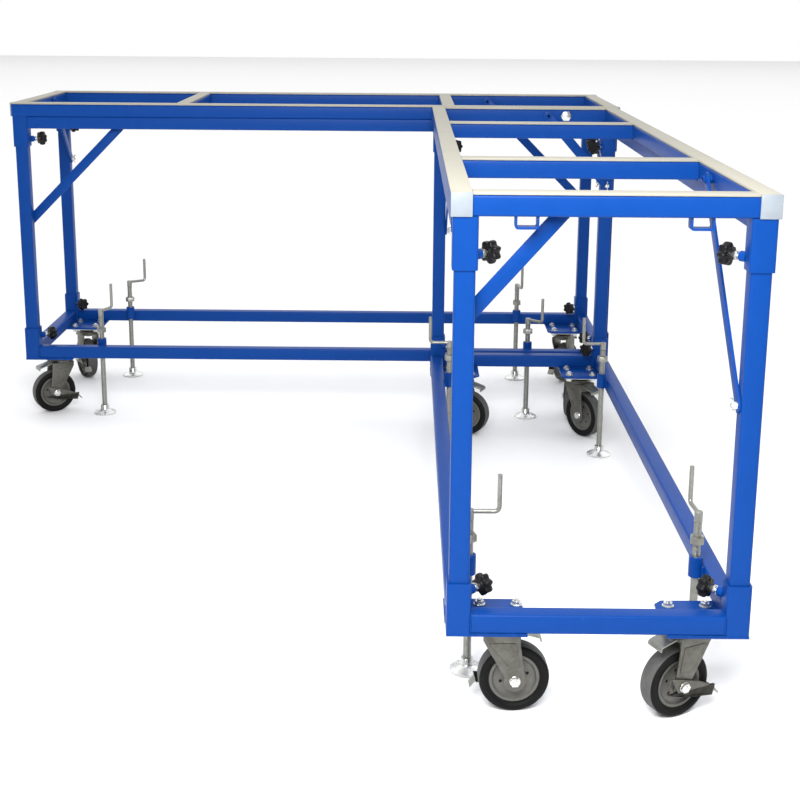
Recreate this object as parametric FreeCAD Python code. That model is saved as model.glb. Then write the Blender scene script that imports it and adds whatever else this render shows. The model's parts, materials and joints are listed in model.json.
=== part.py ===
import FreeCAD, Part
import math
import os

V = FreeCAD.Vector
UP = V(0, 0, 1)

# Module sizes, in millimetres. Two equal modules make the L.
module_length = 2000.0
module_width = 600.0
module_gap = 12.0
side_step = 15.0

# Heights and wheels
caster_height = 204.0
wheel_width = 42.0
tread_clearance = 27.7
caster_trail = 32.0
rail_top_height = 1073.0

# Square tube
tube_size = 40.0
tube_wall = 3.0
tube_corner = 5.0
under_rail_width = 20.0
sleeve_wall = 3.7
sleeve_length = 100.0
base_sleeve_length = 104.0
leg_inset = 8.0
leg_clearance = 0.3
leg_top_gap = 24.0
cross_rail_offset = 540.0

# Strips and end caps
strip_thickness = 5.0
cap_thickness = 4.0

# Strap loops under the end rails
loop_width = 44.0
loop_drop = 24.0
loop_strap = 4.0
loop_depth = 28.0
loop_offset = 160.0

# Corner plates and caster plates
corner_plate_size = 160.0
corner_plate_thickness = 6.0
corner_plate_cut = 16.0
caster_inset = 100.0
caster_plate_size = 104.0
caster_plate_thickness = 5.0
caster_bolt_spacing = 76.0
caster_bolt_diameter = 10.0
caster_bolt_head = 17.0
caster_bolt_head_height = 7.0

# Flat bar braces
brace_width = 30.0
brace_thickness = 5.0
brace_bolt_diameter = 8.0
long_brace_drop = 400.0
long_brace_reach = 375.0
end_brace_drop = 245.0
end_brace_reach = 197.0
brace_top_drop = 20.0
wing_nut_hub = 8.0
wing_nut_span = 34.0
wing_nut_height = 15.0

# Joining bolt between the modules
joining_bolt_diameter = 16.0
joining_head = 30.0
joining_head_height = 10.0
joining_bolt_across = 168.0

# Clamping screws with star knobs
knob_screw_diameter = 10.0
knob_boss_diameter = 20.0
knob_boss_length = 10.0
knob_gap = 17.0
knob_diameter = 46.0
knob_thickness = 22.0
knob_lobes = 7
knob_lobe_radius = 6.5
top_knob_rise = 22.0
base_knob_drop = 32.0

# Screw jacks
jack_from_end = 255.0
jack_socket_diameter = 30.0
jack_socket_height = 45.0
jack_socket_rise = 14.0
jack_screw_diameter = 18.0
jack_nut_size = 28.0
jack_nut_height = 17.0
jack_nut_rise = 30.0
crank_rod = 10.0
crank_arm = 62.0
crank_rise = 40.0
crank_grip = 84.0
foot_diameter = 76.0
foot_rim = 5.0
foot_cone_height = 11.0
foot_hub_diameter = 28.0
foot_hub_height = 14.0
foot_floor = 8.0

# Casters
fork_plate = 4.0
fork_gap = 52.0
fork_crown = 6.0
fork_front = 34.0
fork_back = 42.0
fork_foot_radius = 23.0
race_diameter = 64.0
race_height = 10.0
kingpin_diameter = 16.0
kingpin_head = 26.0
kingpin_head_height = 7.0
pivot_ring = 52.0
axle_diameter = 12.0
axle_head = 20.0
axle_head_height = 7.0
tyre_thickness = 20.0
hub_web = 30.0
hub_boss_diameter = 34.0
brake_plate = 4.0
brake_bar_width = 11.0
brake_lobe_front = 38.0
brake_lobe_rise = 15.0
brake_lobe_drop = 20.0
brake_pedal_clearance = 5.5
brake_pedal_length = 16.0
brake_pedal_slope = 9.0
brake_pedal_inner = 10.0
brake_lever_tilt = 16.0
clip_plate = 3.0
clip_reach = 44.0
clip_drop = 12.0
clip_lip = 7.0
clip_width = 44.0

# Fits
running_clearance = 0.05
face_clearance = 0.3

# One caster stands further in from the module's side than the others
caster_across = {"return_front_left": 114.0}

# Some jacks stand further from the module's end than the others; lock nuts and one crank differ too
jack_along = {
    "main_front_right": 275.0, "main_back_right": 275.0, "return_back_right": 325.0, "return_back_left": 325.0,
}
lock_nut_rise = {
    "main_front_left": 22.0, "main_back_right": 22.0, "main_back_left": 22.0,
    "return_back_right": 40.0, "return_back_left": 40.0,
}
crank_lower = {"main_front_right": 18.0}

# Swivel and crank headings at rest, in degrees from +X, as the photograph shows them
swivel_heading = {
    "main_front_left": 213.0, "main_front_right": 252.0, "main_back_right": 60.0, "main_back_left": 121.0,
    "return_front_right": 207.0, "return_back_right": 305.0, "return_back_left": 335.0, "return_front_left": 3.0,
}
crank_heading = {
    "main_front_left": 66.0, "main_front_right": 315.0, "main_back_right": 282.0, "main_back_left": 32.0,
    "return_front_right": 95.0, "return_back_right": 180.0, "return_back_left": 180.0, "return_front_left": 0.0,
}

# Worked out from the driving sizes
sleeve_bore = tube_size + 2 * leg_clearance
sleeve_size = sleeve_bore + 2 * sleeve_wall
sleeve_inset = leg_inset - leg_clearance - sleeve_wall
sleeve_inner = sleeve_inset + sleeve_size
rail_bottom = rail_top_height - tube_size
top_height = rail_top_height + strip_thickness
caster_stack = fork_crown + face_clearance + 2 * race_height + caster_plate_thickness
wheel_diameter = caster_height - caster_stack - tread_clearance
base_bottom = caster_height + corner_plate_thickness
base_top = base_bottom + tube_size
base_sleeve_top = base_bottom + base_sleeve_length
base_inset = sleeve_inset
leg_inner = leg_inset + tube_size
knob_height = {"top": rail_bottom - sleeve_length + top_knob_rise, "base": base_sleeve_top - base_knob_drop}
depth_total = module_length + module_gap + module_width
wheel_radius = wheel_diameter / 2
jack_from_side = base_inset + tube_size + jack_socket_diameter / 2
jack_socket_bottom = base_bottom + jack_socket_rise
jack_socket_top = jack_socket_bottom + jack_socket_height
crank_height = jack_socket_top + max(lock_nut_rise.values()) + jack_nut_height + crank_rise
crown_bottom = caster_height - caster_stack
crown_top = crown_bottom + fork_crown

LOCAL_CORNERS = ((0, 0), (1, 0), (1, 1), (0, 1))
MODULES = {
    "main": FreeCAD.Placement(V(-module_length / 2, depth_total / 2 - module_width, 0), FreeCAD.Rotation(UP, 0)),
    "return": FreeCAD.Placement(V(module_length / 2 - side_step, -depth_total / 2, 0), FreeCAD.Rotation(UP, 90)),
}
CORNER_NAMES = {
    "main": ("front_left", "front_right", "back_right", "back_left"),
    "return": ("front_right", "back_right", "back_left", "front_left"),
}
# How far a tube's rounded corner lies inside its sharp one, along each side
corner_round = tube_corner * (1 - math.sqrt(0.5))


def block(low, high):
    """A box between two corners given in any order."""
    lo = [min(a, b) for a, b in zip(low, high)]
    hi = [max(a, b) for a, b in zip(low, high)]
    return Part.makeBox(hi[0] - lo[0], hi[1] - lo[1], hi[2] - lo[2], V(*lo))


def rod(diameter, start, end):
    """A round bar from one point to another."""
    axis = end - start
    return Part.makeCylinder(diameter / 2, axis.Length, start, axis)


def hexagon(across, height, base, axis):
    """A hexagonal bolt head or nut."""
    radius = across / math.sqrt(3)
    points = [V(radius * math.cos(k * math.pi / 3), radius * math.sin(k * math.pi / 3), 0) for k in range(7)]
    prism = Part.Face(Part.makePolygon(points)).extrude(V(0, 0, height))
    prism.Placement = FreeCAD.Placement(base, FreeCAD.Rotation(UP, axis))
    return prism


def along(shape, axis):
    """The edges of a shape that run along X, Y or Z."""
    unit = V(*[1.0 if k == axis else 0.0 for k in range(3)])
    straight = [e for e in shape.Edges if e.Curve.TypeId == "Part::GeomLine"]
    return [e for e in straight if abs(e.tangentAt(e.FirstParameter).dot(unit)) > 0.999]


def tube(low, high, axis, wall=tube_wall):
    """A rectangular tube with rounded outer edges, open at both ends."""
    outer = block(low, high)
    outer = outer.makeFillet(tube_corner, along(outer, axis))
    lo = [min(a, b) + (0 if k == axis else wall) for k, (a, b) in enumerate(zip(low, high))]
    hi = [max(a, b) - (0 if k == axis else wall) for k, (a, b) in enumerate(zip(low, high))]
    return outer.cut(block(lo, hi))


def corner_signs(corner):
    """The module corner's place and the inward directions from it."""
    place = V(corner[0] * module_length, corner[1] * module_width, 0)
    return place, 1 - 2 * corner[0], 1 - 2 * corner[1]


def from_corner(corner, a, b, z):
    """A point a along the length and b across it, measured inwards from a module corner."""
    place, sx, sy = corner_signs(corner)
    return V(place.x + sx * a, place.y + sy * b, z)


def corner_block(corner, low, high):
    """A box measured inwards from a module corner."""
    return block(from_corner(corner, *low), from_corner(corner, *high))


def placed(shape, placement):
    """A copy of a shape set in its module's place."""
    copy = shape.copy()
    copy.Placement = placement.multiply(copy.Placement)
    return copy


def write(node, solids):
    """One STEP file with the solids of a node."""
    shape = solids[0] if len(solids) == 1 else Part.makeCompound(solids)
    shape.exportStep("parts/" + node + ".step")


def knob_line(corner, level):
    """The clamping screw's start on the leg's inner corner and its inward direction, across the corner."""
    reach = leg_inner - corner_round
    start = from_corner(corner, reach, reach, knob_height[level])
    _, sx, sy = corner_signs(corner)
    return start, V(sx, sy, 0).normalize()


def wall_depth():
    """From the leg's rounded corner to the sleeve's, along a clamping screw."""
    return (sleeve_inner - leg_inner) * math.sqrt(2)


def sleeve(corner, level):
    """A corner sleeve with the threaded boss of its clamping screw welded on its inner corner."""
    bottom, top = {
        "top": (rail_bottom - sleeve_length, rail_bottom),
        "base": (base_bottom, base_sleeve_top),
    }[level]
    low = from_corner(corner, sleeve_inset, sleeve_inset, bottom)
    high = from_corner(corner, sleeve_inner, sleeve_inner, top)
    outer = block(low, high)
    outer = outer.makeFillet(tube_corner, along(outer, 2))
    inset = leg_inset - leg_clearance
    bore = corner_block(corner, (inset, inset, bottom), (inset + sleeve_bore, inset + sleeve_bore, top))
    start, inward = knob_line(corner, level)
    end = start + inward * (wall_depth() + knob_boss_length)
    boss = rod(knob_boss_diameter, start, end)
    drill = rod(knob_screw_diameter + 2 * running_clearance, start, end)
    return outer.fuse(boss).cut(bore).cut(drill).removeSplitter()


def strap_loop(end, side):
    """A bent strap welded under an end rail."""
    middle = module_width / 2 + side * loop_offset
    edge = cap_thickness + (tube_size - loop_depth) / 2
    outer = (loop_width / 2, rail_bottom - loop_drop)
    x0, x1 = (edge, edge + loop_depth) if end == 0 else (module_length - edge - loop_depth, module_length - edge)
    body = block((x0, middle - outer[0], outer[1]), (x1, middle + outer[0], rail_bottom))
    inside = outer[0] - loop_strap
    return body.cut(block((x0, middle - inside, outer[1] + loop_strap), (x1, middle + inside, rail_bottom)))


def cross_rail_starts():
    """Where the two cross rails begin along the length."""
    return cross_rail_offset, module_length - cross_rail_offset - tube_size


def across_starts():
    """Where the end rails and the cross rails begin along the length."""
    return (cap_thickness, *cross_rail_starts(), module_length - cap_thickness - tube_size)


def top_frame():
    """Long rails, lower rails, end and cross rails, and corner sleeves."""
    solids = []
    for side in (0, 1):
        y0 = side * (module_width - tube_size)
        solids.append(tube((cap_thickness, y0, rail_bottom),
                           (module_length - cap_thickness, y0 + tube_size, rail_top_height), 0))
        low = from_corner((0, side), sleeve_inner, sleeve_inset, rail_bottom - tube_size)
        high = from_corner((1, side), sleeve_inner, sleeve_inset + under_rail_width, rail_bottom)
        solids.append(tube(low, high, 0))
    for x0 in across_starts():
        solids.append(tube((x0, tube_size, rail_bottom), (x0 + tube_size, module_width - tube_size, rail_top_height), 1))
    for corner in LOCAL_CORNERS:
        solids.append(sleeve(corner, "top"))
    return solids


def corner_key(module, corner):
    """The name of a module's corner."""
    return module + "_" + CORNER_NAMES[module][LOCAL_CORNERS.index(corner)]


def caster_spot(module, corner):
    """A caster's swivel axis, inwards from its corner along and across the module."""
    return caster_inset, caster_across.get(corner_key(module, corner), caster_inset)


def corner_plate(module, corner):
    """The plate under a base corner that carries the caster, with its four bolt holes."""
    size = base_inset + corner_plate_size
    cut = size - corner_plate_cut
    outline = ((base_inset, base_inset), (size, base_inset), (size, cut), (cut, size), (base_inset, size))
    points = [from_corner(corner, a, b, caster_height) for a, b in outline + outline[:1]]
    plate = Part.Face(Part.makePolygon(points)).extrude(V(0, 0, corner_plate_thickness))
    for point in bolt_places(module, corner):
        hole = caster_bolt_diameter + 2 * face_clearance
        plate = plate.cut(rod(hole, point, point + UP * corner_plate_thickness))
    return plate


def bolt_places(module, corner):
    """The four caster bolts on the plate's underside."""
    half = caster_bolt_spacing / 2
    a, b = caster_spot(module, corner)
    return [from_corner(corner, a + i * half, b + j * half, caster_height) for i in (-1, 1) for j in (-1, 1)]


def jack_place(module, corner):
    """The screw jack's axis on the floor."""
    along_rail = jack_along.get(corner_key(module, corner), jack_from_end)
    return from_corner(corner, along_rail, jack_from_side, 0)


def jack_socket(module, corner):
    """The threaded tube welded to the inner face of a long base rail."""
    foot = jack_place(module, corner)
    bottom = foot + UP * jack_socket_bottom
    tube_body = rod(jack_socket_diameter, bottom, bottom + UP * jack_socket_height)
    _, _, sy = corner_signs(corner)
    half = jack_socket_diameter / 2
    weld_low = V(foot.x - half, foot.y - sy * half, jack_socket_bottom)
    weld = block(weld_low, V(foot.x + half, foot.y, base_top))
    bore = rod(jack_screw_diameter + 2 * running_clearance, bottom, bottom + UP * jack_socket_height)
    return tube_body.fuse(weld).removeSplitter().cut(bore)


def base_frame(module):
    """Base rails, corner sleeves, corner plates and jack sockets."""
    solids = []
    for side in (0, 1):
        solids.append(tube(from_corner((0, side), sleeve_inner, base_inset, base_bottom),
                           from_corner((1, side), sleeve_inner, base_inset + tube_size, base_top), 0))
        solids.append(tube(from_corner((side, 0), base_inset, sleeve_inner, base_bottom),
                           from_corner((side, 1), base_inset + tube_size, sleeve_inner, base_top), 1))
    for corner in LOCAL_CORNERS:
        solids.append(sleeve(corner, "base"))
        solids.append(corner_plate(module, corner))
        solids.append(jack_socket(module, corner))
    return solids


def leg(corner):
    """One square leg, standing on the corner plate inside its sleeves."""
    return tube(from_corner(corner, leg_inset, leg_inset, base_bottom),
                from_corner(corner, leg_inner, leg_inner, rail_bottom - leg_top_gap), 2)


def wear_strips():
    """The strips on top of one module's rails."""
    solids = []
    for side in (0, 1):
        y0 = side * (module_width - tube_size)
        solids.append(block((cap_thickness, y0, rail_top_height),
                            (module_length - cap_thickness, y0 + tube_size, top_height)))
    for x0 in across_starts():
        solids.append(block((x0, tube_size, rail_top_height),
                            (x0 + tube_size, module_width - tube_size, top_height)))
    return solids


def end_caps():
    """The caps on the long rails' ends, as tall as the rail and its strip."""
    return [corner_block(corner, (0, 0, rail_bottom), (cap_thickness, tube_size, top_height))
            for corner in LOCAL_CORNERS]


def brace_ends(corner):
    """The lower and upper bolt points of the brace at a corner, on its plane, and the plane's inward normal.

    The corners take turns: a brace along the length, then one along the end.
    """
    _, sx, sy = corner_signs(corner)
    middle = leg_inset + tube_size / 2
    if corner[0] == corner[1]:
        low = from_corner(corner, middle, leg_inner, rail_top_height - long_brace_drop)
        high = from_corner(corner, middle + long_brace_reach, leg_inner, rail_top_height - brace_top_drop)
        return low, high, V(0, sy, 0), leg_inner - tube_size
    low = from_corner(corner, leg_inner, middle, rail_top_height - end_brace_drop)
    high = from_corner(corner, leg_inner, middle + end_brace_reach, rail_top_height - brace_top_drop)
    return low, high, V(sx, 0, 0), leg_inner - tube_size - cap_thickness


def brace(corner):
    """A flat bar with round ends and a bolt hole in each."""
    low, high, inward, _ = brace_ends(corner)
    run = high - low
    side = run.normalize().cross(inward) * (brace_width / 2)
    a, b, c, d = low - side, high - side, high + side, low + side
    reach = run * (brace_width / 2)
    edges = [Part.LineSegment(a, b).toShape(), Part.Arc(b, high + reach, c).toShape(),
             Part.LineSegment(c, d).toShape(), Part.Arc(d, low - reach, a).toShape()]
    bar = Part.Face(Part.Wire(edges)).extrude(inward * brace_thickness)
    for point in (low, high):
        hole = brace_bolt_diameter + 2 * face_clearance
        bar = bar.cut(rod(hole, point, point + inward * brace_thickness))
    return bar


def wing_nut(seat, inward, spread):
    """A wing nut: a hub with two raised ears."""
    hub = rod(2 * wing_nut_hub, seat, seat + inward * wing_nut_hub)
    ears = []
    for side in (-1, 1):
        near = seat + spread * (side * wing_nut_hub / 2)
        far = seat + spread * (side * wing_nut_span / 2)
        base, tip = inward * (wing_nut_hub / 4), inward * wing_nut_height
        outline = [near + base, far + tip * 0.6, far + tip, near + inward * wing_nut_hub, near + base]
        across = spread.cross(inward) * brace_thickness
        ears.append(Part.Face(Part.makePolygon(outline)).extrude(across).translated(across * -0.5))
    return hub.fuse(ears).removeSplitter()


def brace_fasteners(corner):
    """The lower wing bolt and the upper bolt with its spacer, on the brace's inner side."""
    low, high, inward, spacer = brace_ends(corner)
    nut_seat = low + inward * brace_thickness
    thread = rod(brace_bolt_diameter, low, nut_seat)
    spread = UP
    top_seat = high + inward * brace_thickness
    head = hexagon(1.6 * brace_bolt_diameter, 0.65 * brace_bolt_diameter, top_seat, inward)
    shank = rod(brace_bolt_diameter, high - inward * spacer, top_seat)
    ring = rod(2.2 * brace_bolt_diameter, high - inward * spacer, high).cut(shank)
    return [thread.fuse(wing_nut(nut_seat, inward, spread)).removeSplitter(), shank.fuse(head).removeSplitter(), ring]


def joining_bolt():
    """The bolt through the two rails that meet, with its spacer, in the part's frame."""
    x = module_length / 2 - side_step - joining_bolt_across
    z = rail_bottom + tube_size / 2
    return_face = -depth_total / 2 + module_length - cap_thickness
    main_face = depth_total / 2 - module_width
    start = V(x, return_face, z)
    end = V(x, main_face, z)
    ring = rod(joining_head, start, end).cut(rod(joining_bolt_diameter, start, end))
    head_face = start - V(0, tube_size, 0)
    head = hexagon(joining_head, joining_head_height, head_face - V(0, joining_head_height, 0), V(0, 1, 0))
    nut_face = end + V(0, tube_size, 0)
    nut = hexagon(joining_head, joining_head_height, nut_face, V(0, 1, 0))
    return ring, head, nut


def caster_plate(module, corner):
    """The caster's top plate with its kingpin and the ring that the fork turns under."""
    place = from_corner(corner, *caster_spot(module, corner), caster_height)
    half = caster_plate_size / 2
    plate_bottom = caster_height - caster_plate_thickness
    plate = block((place.x - half, place.y - half, plate_bottom), (place.x + half, place.y + half, caster_height))
    edges = along(plate, 2)
    plate = plate.makeFillet(tube_corner, edges)
    for point in bolt_places(module, corner):
        hole = rod(caster_bolt_diameter + 2 * face_clearance, point, point - UP * caster_plate_thickness)
        plate = plate.cut(hole)
    axis = V(place.x, place.y, 0)
    ring_bottom = crown_top + race_height + face_clearance
    ring = rod(pivot_ring, axis + UP * ring_bottom, axis + UP * plate_bottom)
    pin = rod(kingpin_diameter, axis + UP * (crown_bottom - face_clearance), axis + UP * plate_bottom)
    head_top = crown_bottom - face_clearance
    head = rod(kingpin_head, axis + UP * (head_top - kingpin_head_height), axis + UP * head_top)
    return plate.fuse([ring, pin, head]).removeSplitter()


def caster_bolts(module, corner):
    """Four hexagon bolts through the corner plate and the caster plate, with their nuts above."""
    solids = []
    for point in bolt_places(module, corner):
        under = point - UP * caster_plate_thickness
        over = point + UP * corner_plate_thickness
        body = rod(caster_bolt_diameter, under, over + UP * caster_bolt_head_height)
        head = hexagon(caster_bolt_head, caster_bolt_head_height, under - UP * caster_bolt_head_height, UP)
        nut = hexagon(caster_bolt_head, caster_bolt_head_height, over, UP)
        solids.append(body.fuse([head, nut]).removeSplitter())
    return solids


def plate_outline(points, v0, v1):
    """A plate in the caster's upright plane, from u and z points, between two sideways places."""
    wire = Part.makePolygon([V(u, v0, z) for u, z in points + points[:1]])
    return Part.Face(wire).extrude(V(0, v1 - v0, 0))


def brake_clip():
    """The bent spring clip that reaches from the fork's crown over the tread."""
    back = fork_back + clip_reach
    low = crown_bottom - clip_drop
    under = crown_bottom
    over = crown_bottom + clip_plate
    profile = [(fork_back - clip_plate, over), (fork_back, over), (back, low + clip_plate), (back, low - clip_lip),
               (back - clip_plate, low - clip_lip), (back - clip_plate, low), (fork_back - clip_plate, under)]
    return plate_outline(profile, -clip_width / 2, clip_width / 2)


def caster_fork():
    """Fork, clip and axle, with the swivel axis on Z and the wheel trailing along +X."""
    inner = fork_gap / 2
    outer = inner + fork_plate
    crown = block((-fork_front, -outer, crown_bottom), (fork_back, outer, crown_top))
    race = rod(race_diameter, V(0, 0, crown_top), V(0, 0, crown_top + race_height))
    foot = fork_foot_radius
    centre = V(caster_trail, 0, wheel_radius)
    cheek = [(-fork_front, crown_top), (fork_back, crown_top), (caster_trail + foot, wheel_radius),
             (caster_trail - foot, wheel_radius)]
    solids = [race, brake_clip()]
    for v0, v1 in ((inner, outer), (-outer, -inner)):
        solids.append(plate_outline(cheek, v0, v1))
        solids.append(rod(2 * foot, centre + V(0, v0, 0), centre + V(0, v1, 0)))
    body = crown.fuse(solids)
    sideways = V(0, outer, 0)
    far_end = sideways + V(0, brake_plate + 2 * face_clearance, 0)
    body = body.cut(rod(axle_diameter + 2 * running_clearance, centre - sideways, centre + sideways))
    top = V(0, 0, crown_top + race_height)
    body = body.cut(rod(kingpin_diameter + 2 * running_clearance, V(0, 0, crown_bottom), top)).removeSplitter()
    axle = rod(axle_diameter, centre - sideways, centre + far_end)
    head_run = V(0, axle_head_height, 0)
    near = hexagon(axle_head, axle_head_height, centre - sideways - head_run, V(0, 1, 0))
    far = hexagon(axle_head, axle_head_height, centre + far_end, V(0, 1, 0))
    return [body, axle.fuse([near, far]).removeSplitter()]


def caster_wheel():
    """Hub and tyre, at the fork's axle."""
    centre = V(caster_trail, 0, wheel_radius)
    half = V(0, wheel_width / 2, 0)
    rim = wheel_diameter - 2 * tyre_thickness
    tyre = rod(wheel_diameter, centre - half, centre + half)
    round_edges = [e for e in tyre.Edges if e.Curve.TypeId == "Part::GeomCircle"]
    tyre = tyre.makeFillet(tyre_thickness / 4, round_edges)
    tyre = tyre.cut(rod(rim + 2 * running_clearance, centre - half, centre + half))
    web = V(0, hub_web / 2, 0)
    reach = V(0, fork_gap / 2 - face_clearance, 0)
    hub = rod(rim, centre - web, centre + web).fuse(rod(hub_boss_diameter, centre - reach, centre + reach))
    bore = rod(axle_diameter + 2 * running_clearance, centre - reach, centre + reach)
    return [hub.removeSplitter().cut(bore), tyre]


def caster_brake():
    """The lobed lever that turns on the axle beside the fork, with its sloping pedal."""
    v0 = fork_gap / 2 + fork_plate + face_clearance
    v1 = v0 + brake_plate
    u, z = caster_trail, wheel_radius
    half = brake_bar_width / 2
    reach = u - wheel_radius - brake_pedal_clearance
    tip = reach - brake_pedal_length
    lobe = [(u + brake_lobe_front, z + brake_lobe_rise), (u - brake_lobe_front, z + brake_lobe_rise),
            (reach, z + half), (reach, z - half), (u - brake_lobe_drop, z - brake_lobe_rise),
            (u - half, z - brake_lobe_drop), (u + half, z - brake_lobe_drop), (u + brake_lobe_drop, z - half)]
    blade = [(reach, z + half), (reach, z + half - brake_plate), (tip, z - brake_pedal_slope),
             (tip, z + brake_plate - brake_pedal_slope)]
    lever = plate_outline(lobe, v0, v1).fuse(plate_outline(blade, brake_pedal_inner, v1))
    axis = V(u, v0, z)
    hole = rod(axle_diameter + 2 * running_clearance, axis, axis + V(0, brake_plate, 0))
    lever = lever.removeSplitter().cut(hole)
    lever.rotate(axis, V(0, 1, 0), -brake_lever_tilt)
    return [lever]


def jack_foot():
    """The round foot, with the seat that the screw's end turns in."""
    disc = rod(foot_diameter, V(0, 0, 0), UP * foot_rim)
    cone = Part.makeCone(0.42 * foot_diameter, foot_hub_diameter / 2, foot_cone_height, UP * foot_rim)
    hub_base = UP * (foot_rim + foot_cone_height)
    hub = rod(foot_hub_diameter, hub_base, hub_base + UP * foot_hub_height)
    seat = rod(jack_screw_diameter + 2 * running_clearance, UP * foot_floor, hub_base + UP * foot_hub_height)
    return [disc.fuse([cone, hub]).removeSplitter().cut(seat)]


def jack_screw(nut_rise, level):
    """Screw, lock nut and bent crank in one piece, with the arm along +X at a level."""
    shaft = rod(jack_screw_diameter, UP * (foot_floor + face_clearance), UP * (level + crank_rod / 2))
    nut = hexagon(jack_nut_size, jack_nut_height, UP * (jack_socket_top + nut_rise), UP)
    elbow = V(crank_arm, 0, level)
    arm = rod(crank_rod, UP * level, elbow)
    bend = Part.makeSphere(crank_rod / 2, elbow)
    grip = rod(crank_rod, elbow, elbow + UP * crank_grip)
    return [shaft.fuse([nut, arm, bend, grip]).removeSplitter()]


def star_knob(start, inward):
    """A clamping screw with its star knob, from the leg's face inwards."""
    tip = start + inward * face_clearance
    hub = start + inward * (wall_depth() + knob_boss_length + knob_gap)
    far = hub + inward * knob_thickness
    screw = rod(knob_screw_diameter, tip, hub + inward * (knob_thickness / 2))
    ring = knob_diameter / 2 - knob_lobe_radius
    spread = UP.cross(inward)
    lobes = []
    for k in range(knob_lobes):
        angle = 2 * math.pi * k / knob_lobes
        offset = spread * (ring * math.cos(angle)) + UP * (ring * math.sin(angle))
        lobes.append(rod(2 * knob_lobe_radius, hub + offset, far + offset))
    body = rod(2 * ring + knob_lobe_radius, hub, far)
    return body.fuse(lobes + [screw]).removeSplitter()


def fixed_pieces():
    """Every piece of the fixed body, by node."""
    nodes = {name: [] for name in ("legs", "strap_loops", "wear_strips", "tube_end_caps", "corner_braces",
                                   "brace_fasteners", "caster_plates", "caster_bolts", "clamping_knobs")}
    for module, placement in MODULES.items():
        nodes[module + "_top_frame"] = [placed(s, placement) for s in top_frame()]
        nodes[module + "_base_frame"] = [placed(s, placement) for s in base_frame(module)]
        nodes["legs"] += [placed(leg(c), placement) for c in LOCAL_CORNERS]
        nodes["strap_loops"] += [placed(strap_loop(e, s), placement) for e in (0, 1) for s in (-1, 1)]
        nodes["wear_strips"] += [placed(s, placement) for s in wear_strips()]
        nodes["tube_end_caps"] += [placed(s, placement) for s in end_caps()]
        for corner in LOCAL_CORNERS:
            nodes["corner_braces"].append(placed(brace(corner), placement))
            nodes["brace_fasteners"] += [placed(s, placement) for s in brace_fasteners(corner)]
            nodes["caster_plates"].append(placed(caster_plate(module, corner), placement))
            nodes["caster_bolts"] += [placed(s, placement) for s in caster_bolts(module, corner)]
            knobs = [star_knob(*knob_line(corner, level)) for level in ("top", "base")]
            nodes["clamping_knobs"] += [placed(s, placement) for s in knobs]
    nodes["brace_fasteners"] += list(joining_bolt())
    return nodes


def moving_pieces():
    """Casters and jacks, by node."""
    nodes = {}
    fork, wheel, brake = caster_fork(), caster_wheel(), caster_brake()
    foot = jack_foot()
    for module, placement in MODULES.items():
        for corner, name in zip(LOCAL_CORNERS, CORNER_NAMES[module]):
            key = module + "_" + name
            hub = placement.multVec(from_corner(corner, *caster_spot(module, corner), 0))
            swivel = FreeCAD.Placement(hub, FreeCAD.Rotation(UP, swivel_heading[key]))
            nodes["caster_fork_" + key] = [placed(s, swivel) for s in fork]
            nodes["caster_wheel_" + key] = [placed(s, swivel) for s in wheel]
            nodes["caster_brake_" + key] = [placed(s, swivel) for s in brake]
            level = crank_height - crank_lower.get(key, 0)
            screw = jack_screw(lock_nut_rise.get(key, jack_nut_rise), level)
            base = placement.multVec(jack_place(module, corner))
            turned = FreeCAD.Placement(base, FreeCAD.Rotation(UP, crank_heading[key]))
            nodes["jack_foot_" + key] = [placed(s, turned) for s in foot]
            nodes["jack_screw_" + key] = [placed(s, turned) for s in screw]
    return nodes


os.makedirs("parts", exist_ok=True)
for node, solids in {**fixed_pieces(), **moving_pieces()}.items():
    write(node, solids)
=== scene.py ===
import json
import math

import bmesh
import bpy
from bpy.props import FloatProperty, FloatVectorProperty, IntProperty, PointerProperty
from mathutils import Matrix, Vector


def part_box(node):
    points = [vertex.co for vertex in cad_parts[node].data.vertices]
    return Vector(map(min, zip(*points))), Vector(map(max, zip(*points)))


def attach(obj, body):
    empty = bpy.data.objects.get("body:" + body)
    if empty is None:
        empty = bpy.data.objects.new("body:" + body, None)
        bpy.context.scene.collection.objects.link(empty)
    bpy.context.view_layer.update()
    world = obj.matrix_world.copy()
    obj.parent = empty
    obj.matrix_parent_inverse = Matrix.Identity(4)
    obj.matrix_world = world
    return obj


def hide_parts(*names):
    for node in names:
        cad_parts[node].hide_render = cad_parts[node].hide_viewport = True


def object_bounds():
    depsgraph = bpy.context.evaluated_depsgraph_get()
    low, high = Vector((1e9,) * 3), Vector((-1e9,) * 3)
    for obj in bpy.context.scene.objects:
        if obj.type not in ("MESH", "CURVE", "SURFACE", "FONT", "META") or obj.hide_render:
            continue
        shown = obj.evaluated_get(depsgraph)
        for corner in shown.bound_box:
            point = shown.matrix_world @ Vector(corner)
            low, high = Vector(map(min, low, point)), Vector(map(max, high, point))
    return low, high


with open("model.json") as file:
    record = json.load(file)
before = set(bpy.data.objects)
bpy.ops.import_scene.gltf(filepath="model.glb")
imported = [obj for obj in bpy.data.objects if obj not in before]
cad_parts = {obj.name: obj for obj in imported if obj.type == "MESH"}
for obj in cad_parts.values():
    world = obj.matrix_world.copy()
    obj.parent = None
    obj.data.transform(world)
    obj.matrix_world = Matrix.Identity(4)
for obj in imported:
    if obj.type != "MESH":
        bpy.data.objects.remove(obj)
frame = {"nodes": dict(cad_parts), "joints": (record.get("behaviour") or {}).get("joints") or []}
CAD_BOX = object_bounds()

bl_info = {
    "name": "Fabrication table",
    "version": (1, 0, 0),
    "blender": (4, 5, 0),
    "location": "View3D > Sidebar > Table",
    "description": "Builds the looks of an L-shaped fabrication table round its CAD frame",
    "category": "Object",
}

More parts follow.
